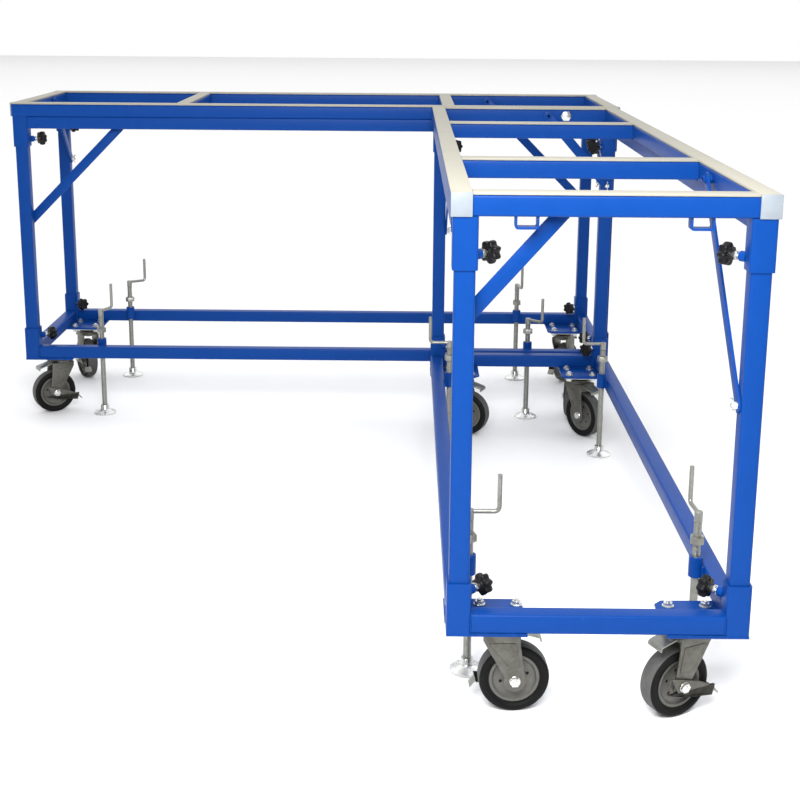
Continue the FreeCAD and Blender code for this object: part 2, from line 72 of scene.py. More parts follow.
UP = Vector((0, 0, 1))
SIDE = Vector((0, 1, 0))
SIGNS = (-1, 1)
MODULES = ("main", "return")
CORNERS = ((0, 0), (1, 0), (1, 1), (0, 1))
JOINTS = {joint["name"]: joint for joint in frame["joints"]}
CASTERS = [name[len("swivel_"):] for name in JOINTS if name.startswith("swivel_")]
ROOT = "frame"
TOP = CAD_BOX[1][2]
# Angle over which an edge is bevelled, in radians.
SHARP = 0.6
# Space that keeps two faces from lying in one plane, in metres.
HAIR = 0.0004

# Outlines in metres, each point a place along and a place up, from the seat or the axle.
WING_EAR = ((0.004, 0.002), (0.012, 0.006), (0.0165, 0.0105),
            (0.0155, 0.0145), (0.011, 0.014), (0.005, 0.0085))
LEVER = ((0.038, 0.015), (-0.038, 0.015), (-0.078, 0.0055), (-0.078, -0.0055),
         (-0.020, -0.015), (-0.0055, -0.020), (0.0055, -0.020), (0.020, -0.0055))
PEDAL = ((-0.078, 0.0055), (-0.078, 0.0015), (-0.094, -0.009), (-0.094, -0.005))

# Turned profiles in metres, each point a radius and a height.
WING_HUB = ((0, 0), (0.008, 0), (0.0075, 0.005), (0.0055, 0.009), (0, 0.009))
PLATE_RACE = ((0.0245, 0), (0.026, 0.0012), (0.026, 0.004), (0.0335, 0.0058))
FORK_RACE = ((0.0082, -0.001), (0.033, -0.001), (0.034, 0.002), (0.034, 0.0045),
             (0.0315, 0.006), (0.0315, 0.008), (0.029, 0.0099), (0.0082, 0.0099))
FOOT_NECK = ((0.026, 0.0085), (0.0165, 0.0145), (0.0142, 0.0175), (0.014, 0.0285), (0.0128, 0.03))
# A thin flat disc, painted shade standing in for a hole through the hub's web.
HOLE_SHADE_DISC = ((0, 0), (0.0033, 0), (0.0033, 0.0002), (0, 0.0002))
HOLE_RIM = ((0.0032, 0.0001), (0.0048, 0.0001), (0.0048, 0.0007), (0.0042, 0.0010), (0.0034, 0.0007))

# Rims in metres: how far in from the edge or side, and how far up or down.
FOOT_RIM = ((0.001, 0), (0, 0.0012), (0, 0.0042), (0.002, 0.0056))
TYRE_BEAD = ((0.003, 0), (0.003, 0.004), (0.0018, 0.005), (0.0004, 0.007))
TYRE_SHOULDER = ((0, 0.008), (0.0010, 0.004), (0.0042, 0.0012), (0.009, 0))

# A star knob's rings, as shares of its depth and of its radius.
KNOB_RINGS = ((0.0, 0.40), (0.10, 0.46), (0.12, 0.82), (0.22, 0.95), (0.36, 1.0),
              (0.74, 1.0), (0.90, 0.95), (1.0, 0.82), (0.97, 0.55), (0.90, 0.50))


def length(name, description, default):
    """A property that holds a length in metres."""
    return FloatProperty(name=name, description=description, default=default, unit="LENGTH", precision=4)


def colour(name, description, default):
    """A property that holds a colour."""
    return FloatVectorProperty(name=name, description=description, default=default,
                               subtype="COLOR", min=0, max=1)


class TableSizes(bpy.types.PropertyGroup):
    """Sizes of the frame's tubes and fittings."""

    module_length: length("Module length", "Length of one module", 2.0)
    module_width: length("Module width", "Width of one module", 0.6)
    tube: length("Tube", "Outside of the square tube", 0.04)
    tube_corner: length("Tube corner", "Rounding of the tube's long edges", 0.005)
    tube_wall: length("Tube wall", "Wall of the tube", 0.003)
    under_rail: length("Lower rail", "Width of the rail under a long rail", 0.02)
    under_corner: length("Lower rail corner", "Rounding of a lower rail's edges", 0.004)
    cap: length("End cap", "Thickness of a tube end cap", 0.004)
    strip: length("Wear strip", "Thickness of a wear strip", 0.005)
    sleeve_inset: length("Sleeve inset", "Sleeve's distance from the module's outside", 0.004)
    sleeve: length("Sleeve", "Outside of a corner sleeve", 0.048)
    sleeve_bore: length("Sleeve bore", "Inside of a corner sleeve", 0.0406)
    top_sleeve: length("Top sleeve", "Height of a top sleeve", 0.1)
    base_sleeve: length("Base sleeve", "Height of a base sleeve", 0.104)
    leg_inset: length("Leg inset", "Leg's distance from the module's outside", 0.008)
    leg_gap: length("Leg gap", "Space over a leg's end", 0.024)
    cross_rail: length("Cross rail", "Distance of a cross rail from its end", 0.54)
    caster_height: length("Caster height", "Floor to the top of a caster plate", 0.204)
    corner_plate: length("Corner plate", "Side of a corner plate", 0.16)
    plate: length("Plate", "Thickness of a corner plate", 0.006)
    plate_cut: length("Plate cut", "Cut corner of a corner plate", 0.016)
    boss: length("Boss", "Diameter of a clamping screw's boss", 0.020)
    boss_length: length("Boss length", "Length of a clamping screw's boss", 0.01)
    top_knob: length("Top knob", "Top knob's height over its sleeve's lower end", 0.022)
    base_knob: length("Base knob", "Base knob's drop from its sleeve's upper end", 0.032)
    loop_offset: length("Loop offset", "Loop's distance from the middle of an end rail", 0.16)
    brace_width: length("Brace width", "Width of a brace's flat bar", 0.03)
    brace: length("Brace thickness", "Thickness of a brace's flat bar", 0.005)
    brace_bolt: length("Brace bolt", "Upper brace bolt's drop from the rail's top", 0.02)
    long_drop: length("Long brace drop", "Drop of a long brace's lower bolt", 0.4)
    long_reach: length("Long brace reach", "Run of a brace along the length", 0.375)
    end_drop: length("End brace drop", "Drop of an end brace's lower bolt", 0.245)
    end_reach: length("End brace reach", "Run of a brace along the end", 0.197)


class CasterSizes(bpy.types.PropertyGroup):
    """Sizes of casters, jacks and knobs."""

    wheel: length("Wheel", "Wheel's diameter", 0.145)
    tyre_width: length("Tyre width", "Tyre's width", 0.042)
    tyre_depth: length("Tyre depth", "Tyre's depth from tread to rim", 0.02)
    trail: length("Trail", "Axle's distance behind the swivel axis", 0.032)
    fork_gap: length("Fork gap", "Space between the fork's cheeks", 0.052)
    fork_plate: length("Fork plate", "Thickness of the fork's cheeks", 0.004)
    crown_drop: length("Crown drop", "From a caster plate down to the underside of the crown", 0.0263)
    lever_room: length("Lever room", "Room for the brake lever beside the fork", 0.0046)
    plate_size: length("Caster plate", "Side of a caster's top plate", 0.104)
    plate: length("Caster plate thickness", "Thickness of a caster's top plate", 0.005)
    bolt_spacing: length("Bolt spacing", "Distance between caster bolts", 0.076)
    bolt: length("Bolt", "Across the flats of a caster bolt", 0.017)
    screw: length("Jack screw", "Diameter of a jack's screw", 0.018)
    screw_pitch: length("Jack pitch", "Pitch of a jack's thread", 0.004)
    foot: length("Jack foot", "Diameter of a jack's foot", 0.076)
    crank: length("Crank", "Length of a jack's crank", 0.062)
    crank_rod: length("Crank rod", "Diameter of a crank's rod", 0.01)
    lever_tilt: FloatProperty(name="Lever tilt", description="Slope of a brake lever at rest",
                              subtype="ANGLE", default=math.radians(16.0))
    grip: length("Crank grip", "Height of a crank's upright end", 0.084)
    knob: length("Knob", "Diameter of a star knob", 0.046)
    knob_depth: length("Knob depth", "Depth of a star knob", 0.022)
    knob_gap: length("Knob gap", "Bare screw between boss and knob", 0.017)
    lobes: IntProperty(name="Lobes", description="Lobes of a star knob", default=7, min=3)


class TableColours(bpy.types.PropertyGroup):
    """Base colours of the finishes."""

    paint: colour("Paint", "Powder coat on the frame", (0.0019, 0.0425, 0.226))
    # The strip colour's warm cream tint is painted warm light falling on the rail tops from above; the
    # strips themselves are pale.
    strip: colour("Strip", "Wear strips on the top rails", (0.315, 0.300, 0.246))
    cap: colour("Cap", "Tube end caps", (0.206, 0.234, 0.264))
    fork: colour("Fork", "Passivated zinc on the casters", (0.125, 0.123, 0.109))
    zinc: colour("Zinc", "Bright zinc on bolts and feet", (0.66, 0.67, 0.66))
    rod: colour("Rod", "Dull zinc on jack screws, clips and pedals", (0.29, 0.295, 0.27))
    # The tyre sidewall colour also fills the flat discs that are painted shade in the hub's holes.
    rubber: colour("Rubber", "Tyre sidewalls", (0.004, 0.004, 0.004))
    tread: colour("Tread", "Worn tyre tread", (0.08, 0.08, 0.077))
    hub: colour("Hub", "Cast wheel hub", (0.104, 0.102, 0.091))
    knob: colour("Knob", "Star knobs", (0.004, 0.004, 0.0045))
    floor: colour("Floor", "Studio floor", (0.90, 0.90, 0.90))


def sizes():
    return bpy.context.scene.table_sizes


def fittings():
    return bpy.context.scene.table_fittings


def colours():
    return bpy.context.scene.table_colours


class Value:
    """A socket in a node tree, with arithmetic that adds Math nodes."""

    def __init__(self, graph, socket):
        self.graph = graph
        self.socket = socket

    def math(self, operation, a, b):
        return self.graph.node("ShaderNodeMath", {0: a, 1: b}, {"operation": operation})

    def __add__(self, other):
        return self.math("ADD", self, other)

    def __radd__(self, other):
        return self.math("ADD", other, self)

    def __sub__(self, other):
        return self.math("SUBTRACT", self, other)

    def __rsub__(self, other):
        return self.math("SUBTRACT", other, self)

    def __mul__(self, other):
        return self.math("MULTIPLY", self, other)

    def __rmul__(self, other):
        return self.math("MULTIPLY", other, self)


class Graph:
    """A node tree, filled one node at a time."""

    def __init__(self, tree):
        self.tree = tree

    def node(self, kind, inputs=None, settings=None, out=0):
        """Adds a node: settings first, then the values or links of its sockets; a list is many links."""
        made = self.tree.nodes.new(kind)
        for key, value in (settings or {}).items():
            setattr(made, key, value)
        for key, value in (inputs or {}).items():
            for item in value if isinstance(value, list) else [value]:
                if isinstance(item, Value):
                    self.tree.links.new(item.socket, made.inputs[key])
                else:
                    made.inputs[key].default_value = item
        return Value(self, made.outputs[out]) if made.outputs else None


class Finish(Graph):
    """A material's node tree with the patterns that the finishes share."""

    def __init__(self, name):
        self.material = bpy.data.materials.new(name)
        self.material.use_nodes = True
        super().__init__(self.material.node_tree)
        self.tree.nodes.clear()
        self.place = self.node("ShaderNodeTexCoord", out="Object")

    def stretched(self, scale):
        """Object coordinates, scaled along each axis."""
        return self.node("ShaderNodeMapping", {"Vector": self.place, "Scale": scale})

    def noise(self, scale, detail=3.0, roughness=0.55, place=None):
        return self.node("ShaderNodeTexNoise", {
            "Vector": place or self.place, "Scale": scale, "Detail": detail, "Roughness": roughness})

    def band(self, value, low, high):
        """0 below low, 1 above high, and a slope between."""
        return self.node("ShaderNodeMapRange", {"Value": value, "From Min": low, "From Max": high},
                         {"interpolation_type": "SMOOTHSTEP"})

    def mix(self, factor, first, second):
        def whole(tone):
            return tone if isinstance(tone, Value) else (*tone[:3], 1)
        return self.node("ShaderNodeMix", {0: factor, 6: whole(first), 7: whole(second)},
                         {"data_type": "RGBA"}, out=2)

    def bump(self, height, strength, distance):
        return self.node("ShaderNodeBump", {"Height": height, "Strength": strength, "Distance": distance})

    def surface(self, **inputs):
        """Closes the material with a Principled shader."""
        named = {key.replace("_", " "): value for key, value in inputs.items()}
        shader = self.node("ShaderNodeBsdfPrincipled", named)
        self.node("ShaderNodeOutputMaterial", {"Surface": shader})
        return self.material


def shade(tone, factor):
    """A colour made darker or lighter."""
    return tuple(min(1.0, c * factor) for c in tone)


def paint_finish(name, tone):
    """Powder coat: even blue with a fine orange peel, faint tone patches and small pale scuffs."""
    g = Finish(name)
    broad = g.noise(2.6)
    fine = g.noise(38.0, detail=5.0)
    scuff = g.band(g.noise(21.0, detail=9.0, roughness=0.7), 0.64, 0.74)
    base = g.mix(broad * 0.6 + fine * 0.4, shade(tone, 0.84), shade(tone, 1.16))
    worn = g.mix(scuff * 0.10, base, (0.05, 0.16, 0.45))
    rough = 0.30 + 0.12 * fine + 0.14 * scuff
    peel = g.bump(g.noise(620.0, detail=1.0), 0.10, 0.0005)
    return g.surface(Base_Color=worn, Roughness=rough, Specular_IOR_Level=0.10, Normal=peel)


def strip_finish(name, tone):
    """Pale plastic with a cream tint that is painted warm light from above, long faint scratches and grey
    handling marks.
    """
    g = Finish(name)
    scratch = g.noise(240.0, detail=2.0, place=g.stretched((0.04, 1.0, 1.0)))
    grime = g.band(g.noise(9.0, detail=8.0, roughness=0.65), 0.52, 0.78)
    base = g.mix(g.noise(4.0), shade(tone, 0.95), shade(tone, 1.06))
    marked = g.mix(grime * 0.30, base, shade(tone, 0.62))
    relief = g.bump(scratch, 0.12, 0.0004)
    return g.surface(Base_Color=marked, Roughness=0.46 + 0.16 * scratch, Normal=relief)


def plain_finish(name, tone, roughness, grain, strength, dirt=0.25, worn=0.55, metallic=0.0, gloss=0.5):
    """A moulded or cast surface: grain in the relief, and soft worn or dusty patches in the colour."""
    g = Finish(name)
    patches = g.band(g.noise(30.0, detail=6.0, roughness=0.65), 0.35, 0.75)
    fine = g.noise(grain, detail=2.0)
    base = g.mix(patches * dirt, shade(tone, 1.08), shade(tone, worn))
    relief = g.bump(fine, strength, 0.0004)
    return g.surface(Base_Color=base, Roughness=roughness + 0.14 * patches, Metallic=metallic,
                     Specular_IOR_Level=gloss, Normal=relief)


def zinc_finish(name, tone, roughness, spangle):
    """Zinc plate: crystal patches, a faint warm tint and rubbed dull places."""
    g = Finish(name)
    cells = g.node("ShaderNodeTexVoronoi", {"Vector": g.place, "Scale": spangle}, out="Color")
    grey = g.node("ShaderNodeRGBToBW", {"Color": cells})
    rub = g.band(g.noise(46.0, detail=7.0, roughness=0.65), 0.40, 0.72)
    base = g.mix(grey * 0.5 + rub * 0.3, shade(tone, 1.12), shade(tone, 0.72))
    tinted = g.mix(rub * 0.25, base, (tone[0] * 1.02, tone[1] * 0.94, tone[2] * 0.74))
    relief = g.bump(g.noise(900.0, detail=1.0), 0.06, 0.0003)
    return g.surface(Base_Color=tinted, Metallic=0.92, Roughness=roughness + 0.20 * rub, Normal=relief)


FINISHES = {
    "paint": (paint_finish, "blue_paint", {}),
    "strip": (strip_finish, "cream_strip", {}),
    "cap": (plain_finish, "pale_cap", dict(roughness=0.42, grain=500.0, strength=0.08)),
    "fork": (zinc_finish, "zinc_fork", dict(roughness=0.36, spangle=130.0)),
    "zinc": (zinc_finish, "zinc_bright", dict(roughness=0.24, spangle=180.0)),
    "rod": (zinc_finish, "zinc_rod", dict(roughness=0.34, spangle=220.0)),
    # This finish also covers the flat discs that are painted shade in place of the hub's holes.
    "rubber": (plain_finish, "tyre_side", dict(
        roughness=0.55, grain=420.0, strength=0.12, dirt=0.4, worn=3.0, gloss=0.12)),
    "tread": (plain_finish, "tyre_tread", dict(
        roughness=0.62, grain=260.0, strength=0.30, dirt=0.6, gloss=0.3)),
    "hub": (plain_finish, "cast_hub", dict(
        roughness=0.46, grain=300.0, strength=0.22, dirt=0.5, metallic=0.3)),
    "knob": (plain_finish, "black_knob", dict(
        roughness=0.36, grain=380.0, strength=0.10, dirt=0.5, worn=2.0, gloss=0.2)),
}


def finish(name):
    """The named finish in its own colour, made once."""
    key = "finish_" + name
    scene = bpy.context.scene
    if key not in scene:
        maker, label, values = FINISHES[name]
        scene[key] = maker(label, getattr(colours(), name), **values).name
    return bpy.data.materials[scene[key]]


def settle(name, mesh, body, replaces=()):
    """Stands a finished mesh in the scene, joined to its body."""
    obj = bpy.data.objects.new(name, mesh)
    bpy.context.scene.collection.objects.link(obj)
    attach(obj, body)
    if replaces:
        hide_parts(*replaces)


def ordered(a, b):
    """The lowest and the highest corner of the box between two points."""
    return [[pick(pair) for pair in zip(a, b)] for pick in (min, max)]


def rounded_rectangle(low, high, radius, steps=4):
    """Points of a rectangle with round corners, in order."""
    points = []
    middles = ((high[0] - radius, high[1] - radius), (low[0] + radius, high[1] - radius),
               (low[0] + radius, low[1] + radius), (high[0] - radius, low[1] + radius))
    for quarter, (x, y) in enumerate(middles):
        for k in range(steps + 1):
            angle = math.pi / 2 * (quarter + k / steps)
            points.append((x + radius * math.cos(angle), y + radius * math.sin(angle)))
    return points


def rounded_path(points, radius, steps):
    """A polyline whose inner corners are arcs."""
    points = [Vector(p) for p in points]
    path = [points[0]]
    for before, corner, after in zip(points, points[1:], points[2:]):
        a = corner + (before - corner).normalized() * radius
        b = corner + (after - corner).normalized() * radius
        for k in range(steps + 1):
            t = k / steps
            path.append(a.lerp(corner, t).lerp(corner.lerp(b, t), t))
    return path + [points[-1]]


def mirrored(side):
    """A profile with its mirror image below, in order."""
    return side + [(a, -b) for a, b in side[::-1]]


def basis(axis):
    """Two directions across an axis, the first one level where the axis is nearer level than upright."""
    axis = Vector(axis).normalized()
    first = axis.orthogonal().normalized()
    if abs(axis.z) < 0.5:
        first = UP.cross(axis).normalized()
    return first, axis.cross(first)


def around(u, v, steps):
    """Angles round a circle, each with its direction."""
    turn = [2 * math.pi * k / steps for k in range(steps)]
    return [(a, u * math.cos(a) + v * math.sin(a)) for a in turn]


class Shape:
    """A mesh put together from closed solids."""

    def __init__(self):
        self.mesh = bmesh.new()
        self.names = []

    def slot(self, name):
        """The material index of a finish."""
        if name not in self.names:
            self.names.append(name)
        return self.names.index(name)

    def skin(self, rings, name, closed=False, names=None):
        """Faces between rings of equal count; a ring of one point is a pole."""
        rows = [[self.mesh.verts.new(p) for p in ring] for ring in rings]
        pairs = list(zip(rows, rows[1:])) + ([(rows[-1], rows[0])] if closed else [])
        for index, (low, high) in enumerate(pairs):
            tone = self.slot(names[index] if names else name)
            count = max(len(low), len(high))
            for k in range(count):
                n = (k + 1) % count
                corners = [low[k % len(low)], low[n % len(low)], high[n % len(high)], high[k % len(high)]]
                self.mesh.faces.new(list(dict.fromkeys(corners))).material_index = tone

    def tube(self, low, high, axis, wall=None, radius=None):
        """A painted hollow tube along X, Y or Z, with the frame's wall and corners unless told otherwise."""
        wall, radius = wall or sizes().tube_wall, radius or sizes().tube_corner
        lo, hi = ordered(low, high)
        u, v = (axis + 1) % 3, (axis + 2) % 3
        outer = rounded_rectangle((lo[u], lo[v]), (hi[u], hi[v]), radius)
        inner = rounded_rectangle((lo[u] + wall, lo[v] + wall), (hi[u] - wall, hi[v] - wall), radius / 3)

        def at(points, place):
            ring = []
            for p, q in points:
                spot = [0.0, 0.0, 0.0]
                spot[axis], spot[u], spot[v] = place, p, q
                ring.append(spot)
            return ring
        rings = [at(outer, lo[axis]), at(outer, hi[axis]), at(inner, hi[axis]), at(inner, lo[axis])]
        self.skin(rings, "paint", closed=True)

    def block(self, low, high, name, bevel, steps=2):
        """A box with softened edges."""
        lo, hi = (Vector(c) for c in ordered(low, high))
        place = Matrix.Translation((lo + hi) / 2) @ Matrix.Diagonal((*(hi - lo), 1))
        self.soften(bmesh.ops.create_cube(self.mesh, size=1.0, matrix=place)["verts"], name, bevel, steps)

    def prism(self, outline, depth, name, bevel):
        """A flat outline pushed along a vector."""
        low = [self.mesh.verts.new(p) for p in outline]
        high = [self.mesh.verts.new(Vector(p) + Vector(depth)) for p in outline]
        self.mesh.faces.new(low)
        self.mesh.faces.new(high)
        for k in range(len(low)):
            self.mesh.faces.new((low[k - 1], low[k], high[k], high[k - 1]))
        self.soften(low + high, name, bevel)

    def soften(self, verts, name, bevel, steps=2):
        """Sets the finish of a new solid and bevels its sharp edges."""
        faces = list(dict.fromkeys(f for v in verts for f in v.link_faces))
        bmesh.ops.recalc_face_normals(self.mesh, faces=faces)
        index = self.slot(name)
        for f in faces:
            f.material_index = index
        edges = dict.fromkeys(e for v in verts for e in v.link_edges)
        sharp = [e for e in edges if e.calc_face_angle(0) > SHARP]
        bmesh.ops.bevel(self.mesh, geom=sharp, offset=bevel, segments=steps, affect="EDGES",
                        profile=0.5, material=index)

    def lathe(self, profile, base, axis, name, steps, closed=False, names=None):
        """A profile of radius and height turned about an axis."""
        base, axis = Vector(base), Vector(axis).normalized()
        circle = around(*basis(axis), steps)
        rings = []
        for radius, height in profile:
            middle = base + axis * height
            rings.append([middle + way * radius for _, way in circle] if radius else [middle])
        self.skin(rings, name, closed, names)

    def rod(self, start, end, diameter, name, bevel=0.0006):
        """A round bar with softened ends."""
        run = Vector(end) - Vector(start)
        r, h = diameter / 2, run.length
        bevel = min(bevel, r / 2, h / 3)
        profile = [(0, 0), (r - bevel, 0), (r, bevel), (r, h - bevel), (r - bevel, h), (0, h)]
        self.lathe(profile, start, run, name, 24)

    def hexagon(self, base, axis, across, height, name):
        """A bolt head or nut with its corners turned down."""
        r = across / math.sqrt(3)
        drop = height * 0.12
        profile = [(0, 0), (r, 0), (r, height - drop), (r * 0.9, height), (0, height)]
        self.lathe(profile, base, axis, name, 6)

    def sweep(self, path, diameter, name):
        """A round bar along a path, with domed ends."""
        runs = [(b - a).normalized() for a, b in zip(path, path[1:])]
        u, _ = basis(runs[0])
        rings = []
        for k, point in enumerate(path):
            run = (runs[max(k - 1, 0)] + runs[min(k, len(runs) - 1)]).normalized()
            u = (u - run * u.dot(run)).normalized()
            rings.append([point + way * (diameter / 2) for _, way in around(u, run.cross(u), 16)])
        dome = diameter * 0.18
        start, end = path[0] - runs[0] * dome, path[-1] + runs[-1] * dome
        self.skin([[start]] + rings + [[end]], name)

    def place(self, matrix):
        bmesh.ops.transform(self.mesh, matrix=matrix, verts=self.mesh.verts)
        return self

    def add(self, other, matrix):
        """Adds a placed copy of another shape."""
        copy = bpy.data.meshes.new("copy")
        other.mesh.to_mesh(copy)
        copy.transform(matrix)
        before = len(self.mesh.faces)
        self.mesh.from_mesh(copy)
        self.mesh.faces.ensure_lookup_table()
        slots = [self.slot(name) for name in other.names]
        for f in self.mesh.faces[before:]:
            f.material_index = slots[f.material_index]
        bpy.data.meshes.remove(copy)

    def piece(self, name, body, slot, replaces=(), crease=0.7):
        """Stands the finished shape in the scene, smooth where its faces meet below the crease angle."""
        bmesh.ops.recalc_face_normals(self.mesh, faces=self.mesh.faces)
        for f in self.mesh.faces:
            f.smooth = True
        for e in self.mesh.edges:
            e.smooth = e.calc_face_angle(0) < crease
        mesh = bpy.data.meshes.new(name)
        self.mesh.to_mesh(mesh)
        self.mesh.free()
        for tone in self.names:
            mesh.materials.append(finish(tone))
        settle(name, mesh, body, replaces)


class Growth(Graph):
    """A geometry tree with named inputs that grows plain objects in one finish."""

    def __init__(self, name, tone, floats, vectors=()):
        super().__init__(bpy.data.node_groups.new(name, "GeometryNodeTree"))
        self.material = finish(tone)
        self.keys = {}
        self.socket("Geometry", "OUTPUT", "Geometry")
        self.socket("Geometry", "INPUT", "Geometry")
        for label in floats:
            self.socket(label, "INPUT", "Float")
        for label in vectors:
            self.socket(label, "INPUT", "Vector")
        group = self.tree.nodes.new("NodeGroupInput")
        self.given = {label: Value(self, group.outputs[label]) for label in self.keys}

    def socket(self, label, way, kind):
        """Adds a socket to the tree and keeps an input's identifier."""
        made = self.tree.interface.new_socket(label, in_out=way, socket_type="NodeSocket" + kind)
        if way == "INPUT":
            self.keys[label] = made.identifier

    def close(self, geometry):
        """Ends the tree in real meshes with the finish."""
        real = self.node("GeometryNodeRealizeInstances", {0: geometry})
        dressed = self.node("GeometryNodeSetMaterial", {"Geometry": real, "Material": self.material})
        self.node("NodeGroupOutput", {0: dressed})
        return self

    def grow(self, name, mesh, values, body, slot, replaces=()):
        """Stands the plain mesh that the tree makes from another mesh in the scene."""
        seed = bpy.data.objects.new(name + "_seed", mesh)
        bpy.context.scene.collection.objects.link(seed)
        modifier = seed.modifiers.new("Grow", "NODES")
        modifier.node_group = self.tree
        for label, value in values.items():
            modifier[self.keys[label]] = value
        depsgraph = bpy.context.evaluated_depsgraph_get()
        made = bpy.data.meshes.new_from_object(seed.evaluated_get(depsgraph), depsgraph=depsgraph)
        bpy.data.objects.remove(seed)
        made.name = name
        made.materials.clear()
        made.materials.append(self.material)
        settle(name, made, body, replaces)


def rail_top():
    return TOP - sizes().strip


def rail_bottom():
    return rail_top() - sizes().tube


def base_bottom():
    return sizes().caster_height + sizes().plate


def sleeve_inner():
    return sizes().sleeve_inset + sizes().sleeve


def module_matrix(module):
    """Where a module's own corner and axes lie in the part's frame."""
    low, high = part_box(module + "_top_frame")
    cap = sizes().cap
    if module == "main":
        return Matrix.Translation((low.x - cap, low.y, 0))
    return Matrix.Translation((high.x, low.y - cap, 0)) @ Matrix.Rotation(math.pi / 2, 4, "Z")


def both_modules(fill):
    """A shape that holds what fill adds to a module, in both modules' places."""
    whole = Shape()
    for module in MODULES:
        shape = Shape()
        fill(shape)
        whole.add(shape, module_matrix(module))
        shape.mesh.free()
    return whole


def from_corner(corner, a, b, z):
    """A point a along the length and b across it, inwards from a module corner."""
    s = sizes()
    x = a if corner[0] == 0 else s.module_length - a
    y = b if corner[1] == 0 else s.module_width - b
    return Vector((x, y, z))


def inward(corner):
    """Inward signs along and across the module."""
    return 1 - 2 * corner[0], 1 - 2 * corner[1]


def across_starts():
    """Where end rails and cross rails begin along the length."""
    s = sizes()
    far = s.module_length - s.tube
    return s.cap, s.cross_rail, far - s.cross_rail, far - s.cap


def top_rails():
    """Each top rail of a module seen from above: two opposite corners and the axis that it runs along."""
    s = sizes()
    wide = s.module_width - s.tube
    along = [((s.cap, y), (s.module_length - s.cap, y + s.tube), 0) for y in (0, wide)]
    return along + [((x, s.tube), (x + s.tube, wide), 1) for x in across_starts()]


def sleeve_ends(level):
    """Lower and upper end of a sleeve of the top or the base frame."""
    if level == "top":
        return rail_bottom() - sizes().top_sleeve, rail_bottom()
    return base_bottom(), base_bottom() + sizes().base_sleeve


def knob_line(corner, level):
    """A clamping screw's start on the leg's rounded inner corner, and its inward direction."""
    s = sizes()
    bottom, top = sleeve_ends(level)
    z = bottom + s.top_knob if level == "top" else top - s.base_knob
    reach = s.leg_inset + s.tube - s.tube_corner * (1 - math.sqrt(0.5))
    return from_corner(corner, reach, reach, z), Vector((*inward(corner), 0)).normalized()


def wall_depth():
    """From the leg's rounded corner to the sleeve's, along a clamping screw."""
    s = sizes()
    return (sleeve_inner() - s.leg_inset - s.tube) * math.sqrt(2)


def add_sleeve(shape, corner, level):
    """A corner sleeve and the boss on its inner corner."""
    s = sizes()
    near, far, gap = s.sleeve_inset, sleeve_inner(), 0.001
    bottom, top = sleeve_ends(level)
    shape.tube(from_corner(corner, near, near, bottom), from_corner(corner, far, far, top), 2,
               wall=(s.sleeve - s.sleeve_bore) / 2)
    start, run = knob_line(corner, level)
    end = start + run * (wall_depth() + s.boss_length)
    shape.rod(start + run * gap, end, s.boss, "paint", bevel=0.0015)


class TABLE_OT_top_frames(bpy.types.Operator):
    """Builds the top rails and corner sleeves of both modules"""

    bl_idname = "table.top_frames"
    bl_label = "Top frames"

    def execute(self, context):
        for module in MODULES:
            shape = Shape()
            self.rails(shape)
            for corner in CORNERS:
                add_sleeve(shape, corner, "top")
            shape.place(module_matrix(module))
            shape.piece(module + "_top_rails", ROOT, "blue_paint", [module + "_top_frame"])
        return {"FINISHED"}

    def rails(self, shape):
        """The top rails, and the lower rails between the sleeves."""
        s = sizes()
        low = rail_bottom()
        for near, far, axis in top_rails():
            shape.tube((*near, low), (*far, rail_top()), axis)
        start, inset = sleeve_inner(), s.sleeve_inset
        for side in (0, 1):
            shape.tube(from_corner((0, side), start, inset, low - s.tube),
                       from_corner((1, side), start, inset + s.under_rail, low), 0, radius=s.under_corner)


class TABLE_OT_base_frames(bpy.types.Operator):
    """Builds the base rails, sleeves, corner plates and jack sockets of both modules"""

    bl_idname = "table.base_frames"
    bl_label = "Base frames"

    def execute(self, context):
        for module in MODULES:
            shape = Shape()
            self.rails(shape)
            for corner in CORNERS:
                add_sleeve(shape, corner, "base")
                self.plate(shape, corner)
            shape.place(module_matrix(module))
            for key in CASTERS:
                if key.startswith(module):
                    self.socket(shape, key)
            shape.piece(module + "_base_rails", ROOT, "blue_paint", [module + "_base_frame"])
        return {"FINISHED"}

    def rails(self, shape):
        """The four rails between the sleeves."""
        s = sizes()
        low, high = base_bottom(), base_bottom() + s.tube
        near, far, start = s.sleeve_inset, s.sleeve_inset + s.tube, sleeve_inner()
        for side in (0, 1):
            shape.tube(from_corner((0, side), start, near, low), from_corner((1, side), start, far, high), 0)
            shape.tube(from_corner((side, 0), near, start, low), from_corner((side, 1), far, start, high), 1)

    def plate(self, shape, corner):
        """A corner plate with its inner corner cut off."""
        s = sizes()
        near = s.sleeve_inset
        end = near + s.corner_plate
        cut = end - s.plate_cut
        outline = ((near, near), (end, near), (end, cut), (cut, end), (near, end))
        points = [from_corner(corner, a, b, s.caster_height) for a, b in outline]
        shape.prism(points, UP * s.plate, "paint", bevel=0.0012)

    def socket(self, shape, key):
        """A threaded tube beside the rail, with its wall shown at the rim and a web to the rail."""
        outer, height, lift, soft = 0.015, 0.045, 0.014, 0.001
        bore = fittings().screw / 2 + 0.0003
        axis = on_floor("crank_" + key)
        bottom, top = base_bottom() + lift, base_bottom() + sizes().tube
        toward = rail_side(key)
        across = Vector((abs(toward.y), abs(toward.x), 0)) * (outer - 0.0006)
        near = axis + toward * (bore + HAIR) - across + UP * (bottom + HAIR)
        far = axis + toward * (outer - HAIR / 2) + across + UP * (top - HAIR)
        shape.block(near, far, "paint", bevel=0.0006)
        profile = [(bore, 0), (outer - soft, 0), (outer, soft), (outer, height - soft),
                   (outer - soft, height), (bore, height)]
        shape.lathe(profile, axis + UP * bottom, UP, "paint", 28, closed=True)


